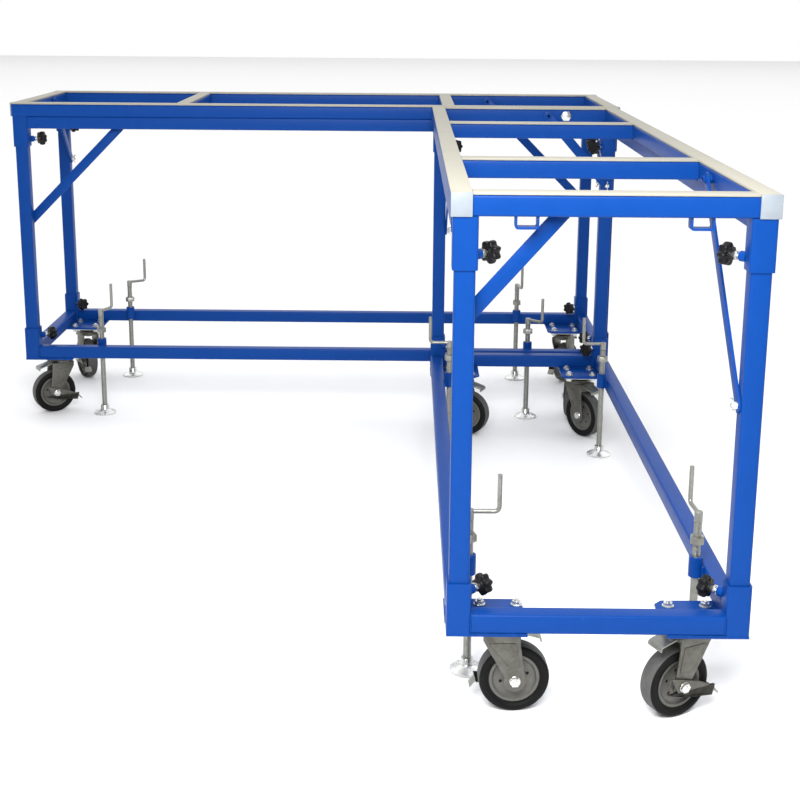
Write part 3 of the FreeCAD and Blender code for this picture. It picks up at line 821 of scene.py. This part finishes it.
def on_floor(joint):
    """Where a joint's upright axis meets the floor."""
    x, y, _ = JOINTS[joint]["pos_m"]
    return Vector((x, y, 0))


def rail_side(key):
    """The direction from a jack to the long base rail beside it."""
    matrix = module_matrix(key.partition("_")[0])
    local = matrix.inverted() @ on_floor("crank_" + key)
    return matrix.to_3x3() @ (SIDE * (-1 if local.y < sizes().module_width / 2 else 1))


class TABLE_OT_legs(bpy.types.Operator):
    """Builds the eight square legs"""

    bl_idname = "table.legs"
    bl_label = "Legs"

    def execute(self, context):
        both_modules(self.legs).piece("square_legs", ROOT, "blue_paint", ["legs"])
        return {"FINISHED"}

    def legs(self, shape):
        s = sizes()
        near, far, top = s.leg_inset, s.leg_inset + s.tube, rail_bottom() - s.leg_gap
        for corner in CORNERS:
            shape.tube(from_corner(corner, near, near, base_bottom()), from_corner(corner, far, far, top), 2)


class TABLE_OT_strap_loops(bpy.types.Operator):
    """Builds the bent straps under the end rails"""

    bl_idname = "table.strap_loops"
    bl_label = "Strap loops"

    def execute(self, context):
        both_modules(self.loops).piece("bent_loops", ROOT, "blue_paint", ["strap_loops"])
        return {"FINISHED"}

    def loops(self, shape):
        s = sizes()
        depth = 0.028
        edge = s.cap + (s.tube - depth) / 2
        for x in (edge, s.module_length - edge - depth):
            for side in SIGNS:
                outline = self.outline(x, s.module_width / 2 + side * s.loop_offset)
                shape.prism(outline, (depth, 0, 0), "paint", bevel=0.0006)

    def outline(self, x, middle):
        """A U seen along the rail: the outer line down and up, then the inner line back."""
        width, drop, strap, outer_bend, inner_bend = 0.044, 0.024, 0.004, 0.006, 0.003
        top = rail_bottom()

        def u_line(half, bottom, bend):
            turns = ((-half, top), (-half, bottom), (half, bottom), (half, top))
            return rounded_path([(x, middle + y, z) for y, z in turns], bend, 4)
        outer = u_line(width / 2, top - drop, outer_bend)
        inner = u_line(width / 2 - strap, top - drop + strap, inner_bend)
        return outer + inner[::-1]


class TABLE_OT_wear_strips(bpy.types.Operator):
    """Builds the pale strips on the top rails"""

    bl_idname = "table.wear_strips"
    bl_label = "Wear strips"

    def execute(self, context):
        # The strips' cream tint is painted warm light from above.
        both_modules(self.strips).piece("top_strips", ROOT, "cream_strip", ["wear_strips"])
        return {"FINISHED"}

    def strips(self, shape):
        for near, far, _ in top_rails():
            shape.block((*near, rail_top()), (*far, TOP), "strip", bevel=0.0012)


class TABLE_OT_end_caps(bpy.types.Operator):
    """Builds the caps on the long rails' ends"""

    bl_idname = "table.end_caps"
    bl_label = "End caps"

    def execute(self, context):
        both_modules(self.caps).piece("rail_caps", ROOT, "pale_cap", ["tube_end_caps"])
        return {"FINISHED"}

    def caps(self, shape):
        s = sizes()
        for corner in CORNERS:
            near, far = from_corner(corner, 0, 0, rail_bottom()), from_corner(corner, s.cap, s.tube, TOP)
            shape.block(near, far, "cap", bevel=0.0012)


def brace_line(corner):
    """A brace's bolt points on its plane, the plane's inward normal and the upper spacer's length."""
    s = sizes()
    along, across = inward(corner)
    face, middle = s.leg_inset + s.tube, s.leg_inset + s.tube / 2
    top = rail_top() - s.brace_bolt
    if corner[0] == corner[1]:
        low = from_corner(corner, middle, face, rail_top() - s.long_drop)
        high = from_corner(corner, middle + s.long_reach, face, top)
        return low, high, Vector((0, across, 0)), face - s.tube
    low = from_corner(corner, face, middle, rail_top() - s.end_drop)
    high = from_corner(corner, face, middle + s.end_reach, top)
    return low, high, Vector((along, 0, 0)), face - s.tube - s.cap


class TABLE_OT_braces(bpy.types.Operator):
    """Builds the flat bar braces"""

    bl_idname = "table.braces"
    bl_label = "Corner braces"

    def execute(self, context):
        both_modules(self.braces).piece("flat_braces", ROOT, "blue_paint", ["corner_braces"])
        return {"FINISHED"}

    def braces(self, shape):
        s = sizes()
        radius, steps = s.brace_width / 2, 12
        for corner in CORNERS:
            low, high, normal, _ = brace_line(corner)
            run = (high - low).normalized()
            side = run.cross(normal)
            outline = []
            for centre, start in ((high, 0.0), (low, math.pi)):
                turn = [start + math.pi * k / steps for k in range(steps + 1)]
                outline += [centre + (side * math.cos(a) + run * math.sin(a)) * radius for a in turn]
            shape.prism(outline, normal * s.brace, "paint", bevel=0.0008)


def facing_points(places):
    """A mesh of points, each with the direction that its copy faces."""
    mesh = bpy.data.meshes.new("points")
    mesh.from_pydata([p for p, _ in places], [], [])
    facing = mesh.attributes.new("facing", "FLOAT_VECTOR", "POINT")
    facing.data.foreach_set("vector", [c for _, run in places for c in run])
    return mesh


def hex_bolts(tone):
    """Bolt heads on washers, with a stub of thread, standing on points along their facing direction."""
    labels = ("Across", "Head height", "Thread")
    g = Growth("hex_bolts", tone, labels)
    across, height, thread = (g.given[label] for label in labels)

    def disc(sides, radius, depth, lift):
        solid = g.node("GeometryNodeMeshCylinder", {"Vertices": sides, "Radius": radius, "Depth": depth})
        offset = g.node("ShaderNodeCombineXYZ", {"Z": lift})
        return g.node("GeometryNodeTransform", {"Geometry": solid, "Translation": offset})
    washer = height * 0.25
    parts = [disc(20, across * 0.72, washer, washer * 0.5),
             disc(6, across * 0.577, height, washer + height * 0.5),
             disc(14, across * 0.3, thread, washer + height + thread * 0.5)]
    joined = g.node("GeometryNodeJoinGeometry", {0: parts})
    run = g.node("GeometryNodeInputNamedAttribute", {"Name": "facing"}, {"data_type": "FLOAT_VECTOR"})
    turn = g.node("FunctionNodeAlignRotationToVector", {"Vector": run}, {"axis": "Z"})
    return g.close(g.node("GeometryNodeInstanceOnPoints", {
        "Points": g.given["Geometry"], "Instance": joined, "Rotation": turn}))


class TABLE_OT_brace_fasteners(bpy.types.Operator):
    """Builds the brace bolts, wing nuts and spacers, and the bolt that joins the modules"""

    bl_idname = "table.brace_fasteners"
    bl_label = "Brace fasteners"

    def execute(self, context):
        thickness, spacer_width = sizes().brace, 0.0176
        heads = []
        shape = Shape()
        for module in MODULES:
            matrix = module_matrix(module)
            for corner in CORNERS:
                low, high, normal, spacer = brace_line(corner)
                low, high, normal = matrix @ low, matrix @ high, matrix.to_3x3() @ normal
                self.wing_nut(shape, low + normal * thickness, normal)
                shape.rod(high - normal * spacer, high, spacer_width, "paint", bevel=0.0005)
                heads.append((high + normal * thickness, normal))
        self.joining_bolt(shape)
        shape.piece("wing_nuts", ROOT, "zinc_steel", ["brace_fasteners"])
        values = {"Across": 0.0128, "Head height": 0.0052, "Thread": 0.0}
        hex_bolts("paint").grow("brace_bolts", facing_points(heads), values, ROOT, "zinc_steel")
        return {"FINISHED"}

    def wing_nut(self, shape, seat, normal):
        """A hub with two raised ears and the bolt's end."""
        bolt, bolt_end, ear = 0.0072, 0.0125, 0.0026
        shape.lathe(WING_HUB, seat, normal, "zinc", 20)
        shape.rod(seat, seat + normal * bolt_end, bolt, "zinc")
        across = UP.cross(normal) * ear
        for side in SIGNS:
            points = [seat + UP * (side * a) + normal * b - across / 2 for a, b in WING_EAR]
            shape.prism(points, across, "zinc", bevel=0.0007)

    def joining_bolt(self, shape):
        """Head, spacer and nut of the bolt through both rails."""
        tube, across, height, from_side = sizes().tube, 0.030, 0.010, 0.168
        _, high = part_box("return_top_frame")
        main_low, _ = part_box("main_top_frame")
        start = Vector((high.x - from_side, high.y, rail_bottom() + tube / 2))
        end = Vector((start.x, main_low.y, start.z))
        shape.rod(start, end, across, "zinc", bevel=0.001)
        shape.hexagon(start - SIDE * tube, -SIDE, across, height, "zinc")
        shape.hexagon(end + SIDE * tube, SIDE, across, height, "zinc")


def caster_matrix(key):
    """A caster's swivel axis on the floor, with its trail along +X."""
    side = JOINTS["roll_" + key]["axis"]
    turn = Matrix.Rotation(math.atan2(-side[0], side[1]), 4, "Z")
    return Matrix.Translation(on_floor("swivel_" + key)) @ turn


def one_each(look, node, fill, matrix):
    """A zinc piece for each caster or jack, filled alike and placed by its matrix."""
    for key in CASTERS:
        shape = Shape()
        fill(shape)
        shape.place(matrix(key)).piece(look + key, node + key, "zinc_steel", [node + key])


def crown_bottom():
    """The underside of a caster fork's crown."""
    return sizes().caster_height - fittings().plate - fittings().crown_drop


def fork_side():
    """The outside of a fork's cheek, from the wheel's middle."""
    return fittings().fork_gap / 2 + fittings().fork_plate


class TABLE_OT_caster_plates(bpy.types.Operator):
    """Builds the casters' top plates, kingpins and races"""

    bl_idname = "table.caster_plates"
    bl_label = "Caster plates"

    def execute(self, context):
        t = fittings()
        corner, race_height, race_top = 0.008, 0.0098, 0.036
        pin, pin_head, head_height = 0.0079, 0.013, 0.007
        bottom = sizes().caster_height - t.plate
        half = t.plate_size / 2
        outline = rounded_rectangle((-half, -half), (half, half), corner)
        head, ring = crown_bottom() - HAIR, bottom - race_height
        profile = [(0, head - head_height), (pin_head, head - head_height), (pin_head, head), (pin, head),
                   (pin, ring), *((r, ring + rise) for r, rise in PLATE_RACE),
                   (race_top, bottom), (0, bottom)]
        shape = Shape()
        for key in CASTERS:
            centre = on_floor("swivel_" + key)
            points = [centre + Vector((a, b, bottom)) for a, b in outline]
            shape.prism(points, UP * t.plate, "zinc", bevel=0.0007)
            shape.lathe(profile, centre, UP, "fork", 36)
        shape.piece("caster_tops", ROOT, "zinc_steel", ["caster_plates"])
        return {"FINISHED"}


class TABLE_OT_caster_bolts(bpy.types.Operator):
    """Builds the bolts through the caster plates, with their nuts above"""

    bl_idname = "table.caster_bolts"
    bl_label = "Caster bolts"

    def execute(self, context):
        t = fittings()
        half = t.bolt_spacing / 2
        places = [on_floor("swivel_" + key) + Vector((i * half, j * half, 0))
                  for key in CASTERS for i in SIGNS for j in SIGNS]
        below = facing_points([(p + UP * (sizes().caster_height - t.plate), -UP) for p in places])
        above = facing_points([(p + UP * base_bottom(), UP) for p in places])
        bolts = hex_bolts("zinc")
        values = {"Across": t.bolt, "Head height": 0.0065, "Thread": 0.0}
        bolts.grow("caster_bolt_heads", below, values, ROOT, "zinc_steel", ["caster_bolts"])
        bolts.grow("caster_bolt_nuts", above, {**values, "Thread": 0.004}, ROOT, "zinc_steel")
        return {"FINISHED"}


class TABLE_OT_caster_forks(bpy.types.Operator):
    """Builds the casters' forks with their axles and clips"""

    bl_idname = "table.caster_forks"
    bl_label = "Caster forks"

    def execute(self, context):
        one_each("fork_", "caster_fork_", self.fork, caster_matrix)
        return {"FINISHED"}

    def fork(self, shape):
        """Two cheeks under a crown, the race on it, the axle with its heads and the bent clip behind."""
        front, back, thickness = 0.034, 0.042, 0.006
        crown, side = crown_bottom(), fork_side()
        top = crown + thickness
        self.cheeks(shape, crown, top, front, back)
        shape.block((-front, -side, crown), (back, side, top), "fork", bevel=0.0022, steps=3)
        race = [(radius, top + rise) for radius, rise in FORK_RACE]
        shape.lathe(race, (0, 0, 0), UP, "fork", 40, closed=True)
        self.axle(shape)
        self.clip(shape, crown, back)

    def cheeks(self, shape, crown, top, front, back):
        """Both cheeks, round under the axle, each with a raised panel."""
        t = fittings()
        axle, trail, plate = t.wheel / 2, t.trail, t.fork_plate
        boss, steps, tuck, rise = 0.0232, 12, 0.001, 0.0011
        turn = [math.pi * (0.06 + k / steps * 1.06) for k in range(steps, -1, -1)]
        cheek = [(back, crown - 0.020), (back, top - tuck), (-front, top - tuck), (-front, crown - 0.010)]
        cheek += [(trail + boss * math.cos(a), axle - boss * math.sin(a)) for a in turn]
        upper, lower = crown - 0.016, axle + 0.030
        panel = [(back - 0.009, upper), (0.012 - front, upper),
                 (trail - 0.012, lower), (trail + 0.010, lower)]
        for sign in SIGNS:
            near = t.fork_gap / 2 if sign > 0 else -fork_side()
            shape.prism([(u, near, z) for u, z in cheek], (0, plate, 0), "fork", bevel=0.0009)
            face = sign * (fork_side() - 0.0001)
            shape.prism([(u, face, z) for u, z in panel], (0, rise * sign, 0), "fork", bevel=0.0010)

    def axle(self, shape):
        """The axle with a washer, a hexagon head and a thread's end on each side, one beyond the lever."""
        t = fittings()
        centre = Vector((t.trail, 0, t.wheel / 2))
        near, far = fork_side(), fork_side() + t.lever_room
        pin, washer, washer_width, across, head = 0.012, 0.0012, 0.0225, 0.019, 0.0056
        thread, thread_start, thread_end = 0.0105, 0.006, 0.0095
        shape.rod(centre - SIDE * near, centre + SIDE * far, pin, "zinc")
        for way, reach in ((-SIDE, near), (SIDE, far)):
            seat = centre + way * reach
            shape.rod(seat, seat + way * washer, washer_width, "zinc", bevel=0.0004)
            shape.hexagon(seat + way * washer, way, across, head, "zinc")
            shape.rod(seat + way * thread_start, seat + way * thread_end, thread, "zinc")

    def clip(self, shape, crown, back):
        """The bent spring clip that reaches over the tread, with a rounded lip."""
        reach, drop, plate, lip, half, root = 0.044, 0.012, 0.003, 0.007, 0.0219, 0.004
        end, low = back + reach, crown - drop
        outer = [(back - root, crown + plate), (back, crown + plate), (end, low + plate), (end, low - lip)]
        inner = [(back - root, crown), (back - 0.0006, crown), (end - plate, low + HAIR),
                 (end - plate, low - lip)]
        top, under = (rounded_path([(u, -half, z) for u, z in line], bend, 5)
                      for line, bend in ((outer, 0.006), (inner, 0.0035)))
        shape.prism(top + under[::-1], (0, 2 * half, 0), "rod", bevel=0.0006)


class TABLE_OT_caster_wheels(bpy.types.Operator):
    """Builds the tyres and hubs"""

    bl_idname = "table.caster_wheels"
    bl_label = "Caster wheels"

    def execute(self, context):
        for key in CASTERS:
            tyre, hub = Shape(), Shape()
            self.tyre(tyre)
            self.hub(hub)
            body = "caster_wheel_" + key
            matrix = caster_matrix(key)
            tyre.place(matrix).piece("tyre_" + key, body, "tyre", [body], crease=0.9)
            hub.place(matrix).piece("hub_" + key, body, "zinc_steel")
        return {"FINISHED"}

    def tyre(self, shape):
        """A tyre with a flat worn tread, round shoulders and a groove beside the rim."""
        t = fittings()
        r, half = t.wheel / 2, t.tyre_width / 2
        rim = r - t.tyre_depth + 0.0001
        side = [(rim + rise, half - inset) for inset, rise in TYRE_BEAD]
        side += [(r - drop, half - inset) for inset, drop in TYRE_SHOULDER]
        names = ["rubber"] * (len(side) - 2) + ["tread"] * 3 + ["rubber"] * (len(side) - 1)
        shape.lathe(mirrored(side), (t.trail, 0, r), SIDE, "rubber", 64, closed=True, names=names)

    def hub(self, shape):
        """A cast hub: rim ring, dished web with raised rims round flat dark discs that are painted shade in
        place of holes, and a boss round the axle.
        """
        t = fittings()
        centre = Vector((t.trail, 0, t.wheel / 2))
        rim = t.wheel / 2 - t.tyre_depth
        bore, face, web, boss = 0.00606, 0.0165, 0.0105, t.fork_gap / 2 - 0.0003
        holes, hole_circle, first = 6, 0.0285, 0.3
        side = [(bore, boss), (0.0135, boss), (0.0155, boss - 0.0015), (0.0168, web + 0.002), (0.020, web),
                (rim - 0.012, web), (rim - 0.009, web + 0.0015), (rim - 0.0065, face), (rim - 0.001, face),
                (rim, face - 0.001)]
        shape.lathe(mirrored(side), centre, SIDE, "hub", 64, closed=True)
        for sign in SIGNS:
            for k in range(holes):
                a = 2 * math.pi * k / holes + first
                spot = centre + Vector((hole_circle * math.cos(a), sign * web, hole_circle * math.sin(a)))
                shape.lathe(HOLE_RIM, spot, SIDE * sign, "hub", 18, closed=True)
                # A thin disc in the black tyre colour inside each rim: painted shade in place of a hole
                # through the web.
                shape.lathe(HOLE_SHADE_DISC, spot, SIDE * sign, "rubber", 18)


class TABLE_OT_caster_brakes(bpy.types.Operator):
    """Builds the brake levers with their pedals"""

    bl_idname = "table.caster_brakes"
    bl_label = "Caster brakes"

    def execute(self, context):
        one_each("brake_", "caster_brake_", self.brake, caster_matrix)
        return {"FINISHED"}

    def brake(self, shape):
        """A lobed lever on the axle, with a sloping pedal blade."""
        t = fittings()
        clearance, plate, blade_start, bend = 0.0003, 0.004, 0.010, 0.006
        near = fork_side() + clearance
        axle = Vector((t.trail, 0, t.wheel / 2))
        tilt = Matrix.Rotation(-t.lever_tilt, 3, "Y")

        def tilted(outline, v):
            return [axle + tilt @ Vector((a, v, b)) for a, b in outline]
        lobe = rounded_path(tilted(LEVER + LEVER[:1], near), bend, 4)[:-1]
        shape.prism(lobe, (0, plate, 0), "fork", bevel=0.0008)
        blade = (0, near + plate - blade_start, 0)
        shape.prism(tilted(PEDAL, blade_start), blade, "rod", bevel=0.0007)


def screw_points(key):
    """The points of a jack screw's solid."""
    return [v.co for v in frame["nodes"]["jack_screw_" + key].data.vertices]


def crank_level(key):
    """The height of a crank's arm, read from its solid."""
    _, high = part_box("jack_screw_" + key)
    return high.z - fittings().grip


def nut_height(key):
    """The underside of a jack's lock nut, read from its solid."""
    t = fittings()
    axis = on_floor("crank_" + key).to_2d()
    arm, wide, gap = crank_level(key) - t.crank_rod, t.screw / 2 + 0.002, 0.0003
    return gap + min(c.z for c in screw_points(key) if c.z < arm and (c.to_2d() - axis).length > wide)


def jack_matrix(key):
    """A jack's axis on the floor, with its crank along +X as the upright grip of its solid shows."""
    axis = on_floor("crank_" + key)
    above = crank_level(key) + 0.03
    grip = [c for c in screw_points(key) if c.z > above]
    away = sum(grip, Vector()) / len(grip) - axis
    return Matrix.Translation(axis) @ Matrix.Rotation(math.atan2(away.y, away.x), 4, "Z")


class TABLE_OT_jack_feet(bpy.types.Operator):
    """Builds the jacks' round feet"""

    bl_idname = "table.jack_feet"
    bl_label = "Jack feet"

    def execute(self, context):
        one_each("foot_", "jack_foot_", self.foot, jack_matrix)
        return {"FINISHED"}

    def foot(self, shape):
        """A disc with a rounded rim and a neck, bored for the screw."""
        t = fittings()
        r, bore, seat, top = t.foot / 2, t.screw / 2 + 0.0001, 0.008, FOOT_NECK[-1][1]
        rim = [(r - inset, z) for inset, z in FOOT_RIM]
        profile = [(0, 0), *rim, *FOOT_NECK, (bore, top), (bore, seat), (0, seat)]
        shape.lathe(profile, (0, 0, 0), UP, "zinc", 48)


def screw_thread(tone):
    """A ridge wound round an upright axis: a screw thread."""
    g = Growth("screw_thread", tone, ("Radius", "Ridge", "Turns", "Height"), vectors=("Base",))
    spiral = g.node("GeometryNodeCurveSpiral", {
        "Resolution": 20, "Rotations": g.given["Turns"], "Start Radius": g.given["Radius"],
        "End Radius": g.given["Radius"], "Height": g.given["Height"]})
    ridge = g.node("GeometryNodeCurvePrimitiveCircle", {"Resolution": 4, "Radius": g.given["Ridge"]})
    wound = g.node("GeometryNodeCurveToMesh", {"Curve": spiral, "Profile Curve": ridge, "Fill Caps": True})
    return g.close(g.node("GeometryNodeTransform", {"Geometry": wound, "Translation": g.given["Base"]}))


class TABLE_OT_jack_screws(bpy.types.Operator):
    """Builds the jacks' screws, lock nuts, cranks and threads"""

    bl_idname = "table.jack_screws"
    bl_label = "Jack screws"

    def execute(self, context):
        t = fittings()
        seat, low, neck, ridge = 0.0084, 0.032, 0.02, 0.0009
        nut, nut_depth, bend, dome = 0.028, 0.0165, 0.012, 0.0018
        core = t.screw / 2 - ridge
        threads = screw_thread("rod")
        for key in CASTERS:
            body = "jack_screw_" + key
            level = crank_level(key)
            high = level - neck
            shape = Shape()
            shape.rod(UP * seat, UP * low, t.screw, "rod")
            shape.rod(UP * low, UP * high, core * 2, "rod")
            shape.rod(UP * high, UP * (level + t.crank_rod / 2), t.screw, "rod", bevel=0.002)
            shape.hexagon(UP * nut_height(key), UP, nut, nut_depth, "rod")
            elbow = Vector((t.crank, 0, level))
            path = rounded_path([UP * level, elbow, elbow + UP * (t.grip - dome)], bend, 8)
            shape.sweep(path, t.crank_rod, "rod")
            matrix = jack_matrix(key)
            shape.place(matrix).piece("screw_" + key, body, "zinc_steel", [body])
            values = {"Base": matrix.translation + UP * low, "Radius": core - 0.0001, "Ridge": ridge,
                      "Turns": (high - low) / t.screw_pitch, "Height": high - low}
            threads.grow("thread_" + key, bpy.data.meshes.new("axis"), values, body, "zinc_steel")
        return {"FINISHED"}


class TABLE_OT_knobs(bpy.types.Operator):
    """Builds the star knobs on their clamping screws"""

    bl_idname = "table.knobs"
    bl_label = "Star knobs"

    def execute(self, context):
        both_modules(self.knobs).piece("star_knobs", ROOT, "black_plastic", ["clamping_knobs"], crease=0.9)
        return {"FINISHED"}

    def knobs(self, shape):
        for corner in CORNERS:
            for level in ("top", "base"):
                self.knob(shape, *knob_line(corner, level))

    def knob(self, shape, tip, run):
        """A lobed disc on a screw with a nut, from the screw's tip."""
        t = fittings()
        dip, screw, sunk, nut, nut_depth = 0.115, 0.010, 0.004, 0.016, 0.007
        seat = tip + run * (wall_depth() + sizes().boss_length)
        start = seat + run * t.knob_gap
        circle = around(*basis(run), t.lobes * 12)
        rings = [[start]]
        for height, scale in KNOB_RINGS:
            middle = start + run * (t.knob_depth * height)
            lobed = dip * min(1.0, max(0.0, (scale - 0.5) * 4))
            radius = t.knob / 2 * scale
            rings.append([middle + way * radius * (1 - lobed * (1 - math.cos(t.lobes * a)))
                          for a, way in circle])
        rings.append([start + run * (t.knob_depth * KNOB_RINGS[-1][0])])
        shape.skin(rings, "knob")
        shape.rod(tip + run * HAIR, start + run * sunk, screw, "zinc")
        shape.hexagon(seat + run * sunk, run, nut, nut_depth, "zinc")


class TABLE_OT_welds(bpy.types.Operator):
    """Builds the weld beads where tubes, sleeves and plates meet"""

    bl_idname = "table.welds"
    bl_label = "Weld beads"

    def execute(self, context):
        for module in MODULES:
            matrix = module_matrix(module)
            points = [matrix @ p for seam in self.seams() for p in seam]
            mesh = bpy.data.meshes.new("seams")
            mesh.from_pydata(points, [(k, k + 1) for k in range(0, len(points), 2)], [])
            values = {"Pitch": 0.0032, "Bead": 0.0021}
            self.beads().grow(module + "_weld_beads", mesh, values, ROOT, "blue_paint")
        return {"FINISHED"}

    def seams(self):
        """The seams of one module, as lines."""
        s = sizes()
        low, high, soft = rail_bottom(), rail_top(), s.tube_corner
        inner = (s.tube, s.module_width - s.tube)
        lines = []
        for x in across_starts():
            for side in (x, x + s.tube):
                lines += [(Vector((side, y, low + soft)), Vector((side, y, high - soft))) for y in inner]
            lines += [(Vector((x + soft, y, low)), Vector((x + s.tube - soft, y, low))) for y in inner]
        for corner in CORNERS:
            lines += [[from_corner(corner, *end) for end in seam] for seam in self.corner_seams(low, soft)]
        return lines

    def corner_seams(self, low, soft):
        """The seams at a corner's sleeves and plate, in distances from the corner."""
        s = sizes()
        near, far, edge, end = s.sleeve_inset, s.sleeve_inset + s.tube, sleeve_inner(), s.corner_plate
        mid, top, under = base_bottom(), base_bottom() + s.tube, low - s.tube
        under_far = near + s.under_rail

        def twins(start, stop):
            return [(start, stop), tuple((b, a, z) for a, b, z in (start, stop))]
        return [
            *twins((edge, near, mid + soft), (edge, near, top - soft)),
            *twins((edge, far, mid + soft), (edge, far, top - soft)),
            *twins((edge, near + soft, top), (edge, far - soft, top)),
            ((s.tube, edge, low), (s.tube, s.tube + soft, low)),
            *twins((edge, near, mid), (end, near, mid)),
            *twins((far, far, mid), (end, far, mid)),
            ((edge, near, under + soft), (edge, near, low)),
            ((edge, under_far, under + soft), (edge, under_far, low)),
        ]

    def beads(self):
        """Small beads of uneven size set one after another along every seam."""
        g = Growth("weld_beads", "paint", ("Pitch", "Bead"))
        curve = g.node("GeometryNodeMeshToCurve", {"Mesh": g.given["Geometry"]})
        even = g.node("GeometryNodeResampleCurve", {"Curve": curve, "Length": g.given["Pitch"]},
                      {"mode": "LENGTH"})
        points = g.node("GeometryNodeCurveToPoints", {"Curve": even}, {"mode": "EVALUATED"})
        bead = g.node("GeometryNodeMeshIcoSphere", {"Radius": g.given["Bead"], "Subdivisions": 2})
        jitter = g.node("FunctionNodeRandomValue", {
            "Min": (0.8, 0.8, 0.8), "Max": (1.15, 1.15, 1.15), "Seed": 7}, {"data_type": "FLOAT_VECTOR"})
        return g.close(g.node("GeometryNodeInstanceOnPoints", {
            "Points": points, "Instance": bead, "Scale": jitter}))


class TABLE_OT_stage(bpy.types.Operator):
    """Builds the floor, lights and camera"""

    bl_idname = "table.stage"
    bl_label = "Stage"

    def execute(self, context):
        self.floor(context)
        self.lights(context)
        self.camera(context)
        return {"FINISHED"}

    def floor(self, context):
        half = 30.0
        mesh = bpy.data.meshes.new("floor")
        corners = [(-half, -half, 0), (half, -half, 0), (half, half, 0), (-half, half, 0)]
        mesh.from_pydata(corners, [], [(0, 1, 2, 3)])
        g = Finish("floor")
        tone = colours().floor
        base = g.mix(g.noise(3.0), shade(tone, 0.985), shade(tone, 1.01))
        mesh.materials.append(g.surface(Base_Color=base, Roughness=0.65))
        obj = bpy.data.objects.new("floor", mesh)
        context.scene.collection.objects.link(obj)

    def lights(self, context):
        """A white room that is dim overhead and behind the camera, a key near it and a broad light above."""
        world = bpy.data.worlds.new("studio")
        context.scene.world = world
        world.use_nodes = True
        g = Graph(world.node_tree)
        world.node_tree.nodes.clear()
        facing = g.node("ShaderNodeTexCoord", out="Object")

        def ramp(axis, low, high):
            part = g.node("ShaderNodeSeparateXYZ", {0: facing}, out=axis)
            return g.node("ShaderNodeMapRange", {"Value": part, "From Min": low, "From Max": high})
        white = 1 - (1 - ramp("Y", -0.4, 0.1)) * (1 - ramp("Z", 0.32, 0.14))
        dim, bright = (g.node("ShaderNodeBackground", {"Color": (1, 1, 1, 1), "Strength": strength})
                       for strength in (0.08, 1.0))
        mixed = g.node("ShaderNodeMixShader", {0: white, 1: dim, 2: bright})
        g.node("ShaderNodeOutputWorld", {"Surface": mixed})
        context.scene.view_settings.view_transform = "Standard"
        self.area(context, "key", place=(0.2, -2.9, 2.2), target=(0.55, -0.9, 0.7), size=1.3, power=130.0)
        self.area(context, "top", place=(0.0, 11.0, 10.0), target=(0.0, 11.0, 0.0), size=36.0, power=2300.0)

    def area(self, context, name, place, target, size, power):
        lamp = bpy.data.lights.new(name, "AREA")
        lamp.size = size
        lamp.energy = power
        obj = bpy.data.objects.new(name, lamp)
        obj.location = place
        obj.rotation_euler = (Vector(target) - Vector(place)).to_track_quat("-Z", "Y").to_euler()
        context.scene.collection.objects.link(obj)

    def camera(self, context):
        """The photograph's camera: place, turn, focal length and the shift of its middle."""
        yaw, pitch, roll = -0.005, 0.2285, -0.0074
        place = Vector((0.3066, -3.6947, 1.4148))
        data = bpy.data.cameras.new("camera")
        data.sensor_width = 36.0
        data.lens = 60.0
        data.shift_y = -0.1125
        turn, tilt, lean = (Matrix.Rotation(angle, 3, axis)
                            for angle, axis in ((yaw, "Z"), (pitch, "X"), (-roll, "Y")))
        right, forward, up = lean @ tilt @ turn
        facing = Matrix((right, up, -forward)).transposed()
        obj = bpy.data.objects.new("camera", data)
        obj.matrix_world = Matrix.Translation(place) @ facing.to_4x4()
        context.scene.collection.objects.link(obj)
        context.scene.camera = obj


OPERATORS = (
    TABLE_OT_top_frames, TABLE_OT_base_frames, TABLE_OT_legs, TABLE_OT_strap_loops, TABLE_OT_wear_strips,
    TABLE_OT_end_caps, TABLE_OT_braces, TABLE_OT_brace_fasteners, TABLE_OT_caster_plates,
    TABLE_OT_caster_bolts, TABLE_OT_caster_forks, TABLE_OT_caster_wheels, TABLE_OT_caster_brakes,
    TABLE_OT_jack_feet, TABLE_OT_jack_screws, TABLE_OT_knobs, TABLE_OT_welds, TABLE_OT_stage,
)


class TABLE_PT_sidebar(bpy.types.Panel):
    """Lists the table's pieces"""

    bl_idname = "TABLE_PT_sidebar"
    bl_label = "Fabrication table"
    bl_space_type = "VIEW_3D"
    bl_region_type = "UI"
    bl_category = "Table"

    def draw(self, context):
        for operator in OPERATORS:
            self.layout.operator(operator.bl_idname)


GROUPS = {"table_sizes": TableSizes, "table_fittings": CasterSizes, "table_colours": TableColours}


def register():
    for made in (*GROUPS.values(), *OPERATORS, TABLE_PT_sidebar):
        bpy.utils.register_class(made)
    for name, group in GROUPS.items():
        setattr(bpy.types.Scene, name, PointerProperty(type=group))


def unregister():
    for name in GROUPS:
        delattr(bpy.types.Scene, name)
    for made in (TABLE_PT_sidebar, *OPERATORS, *GROUPS.values()):
        bpy.utils.unregister_class(made)


def main():
    register()
    for operator in OPERATORS:
        family, name = operator.bl_idname.split(".")
        getattr(getattr(bpy.ops, family), name)()


if __name__ == "__main__":
    main()
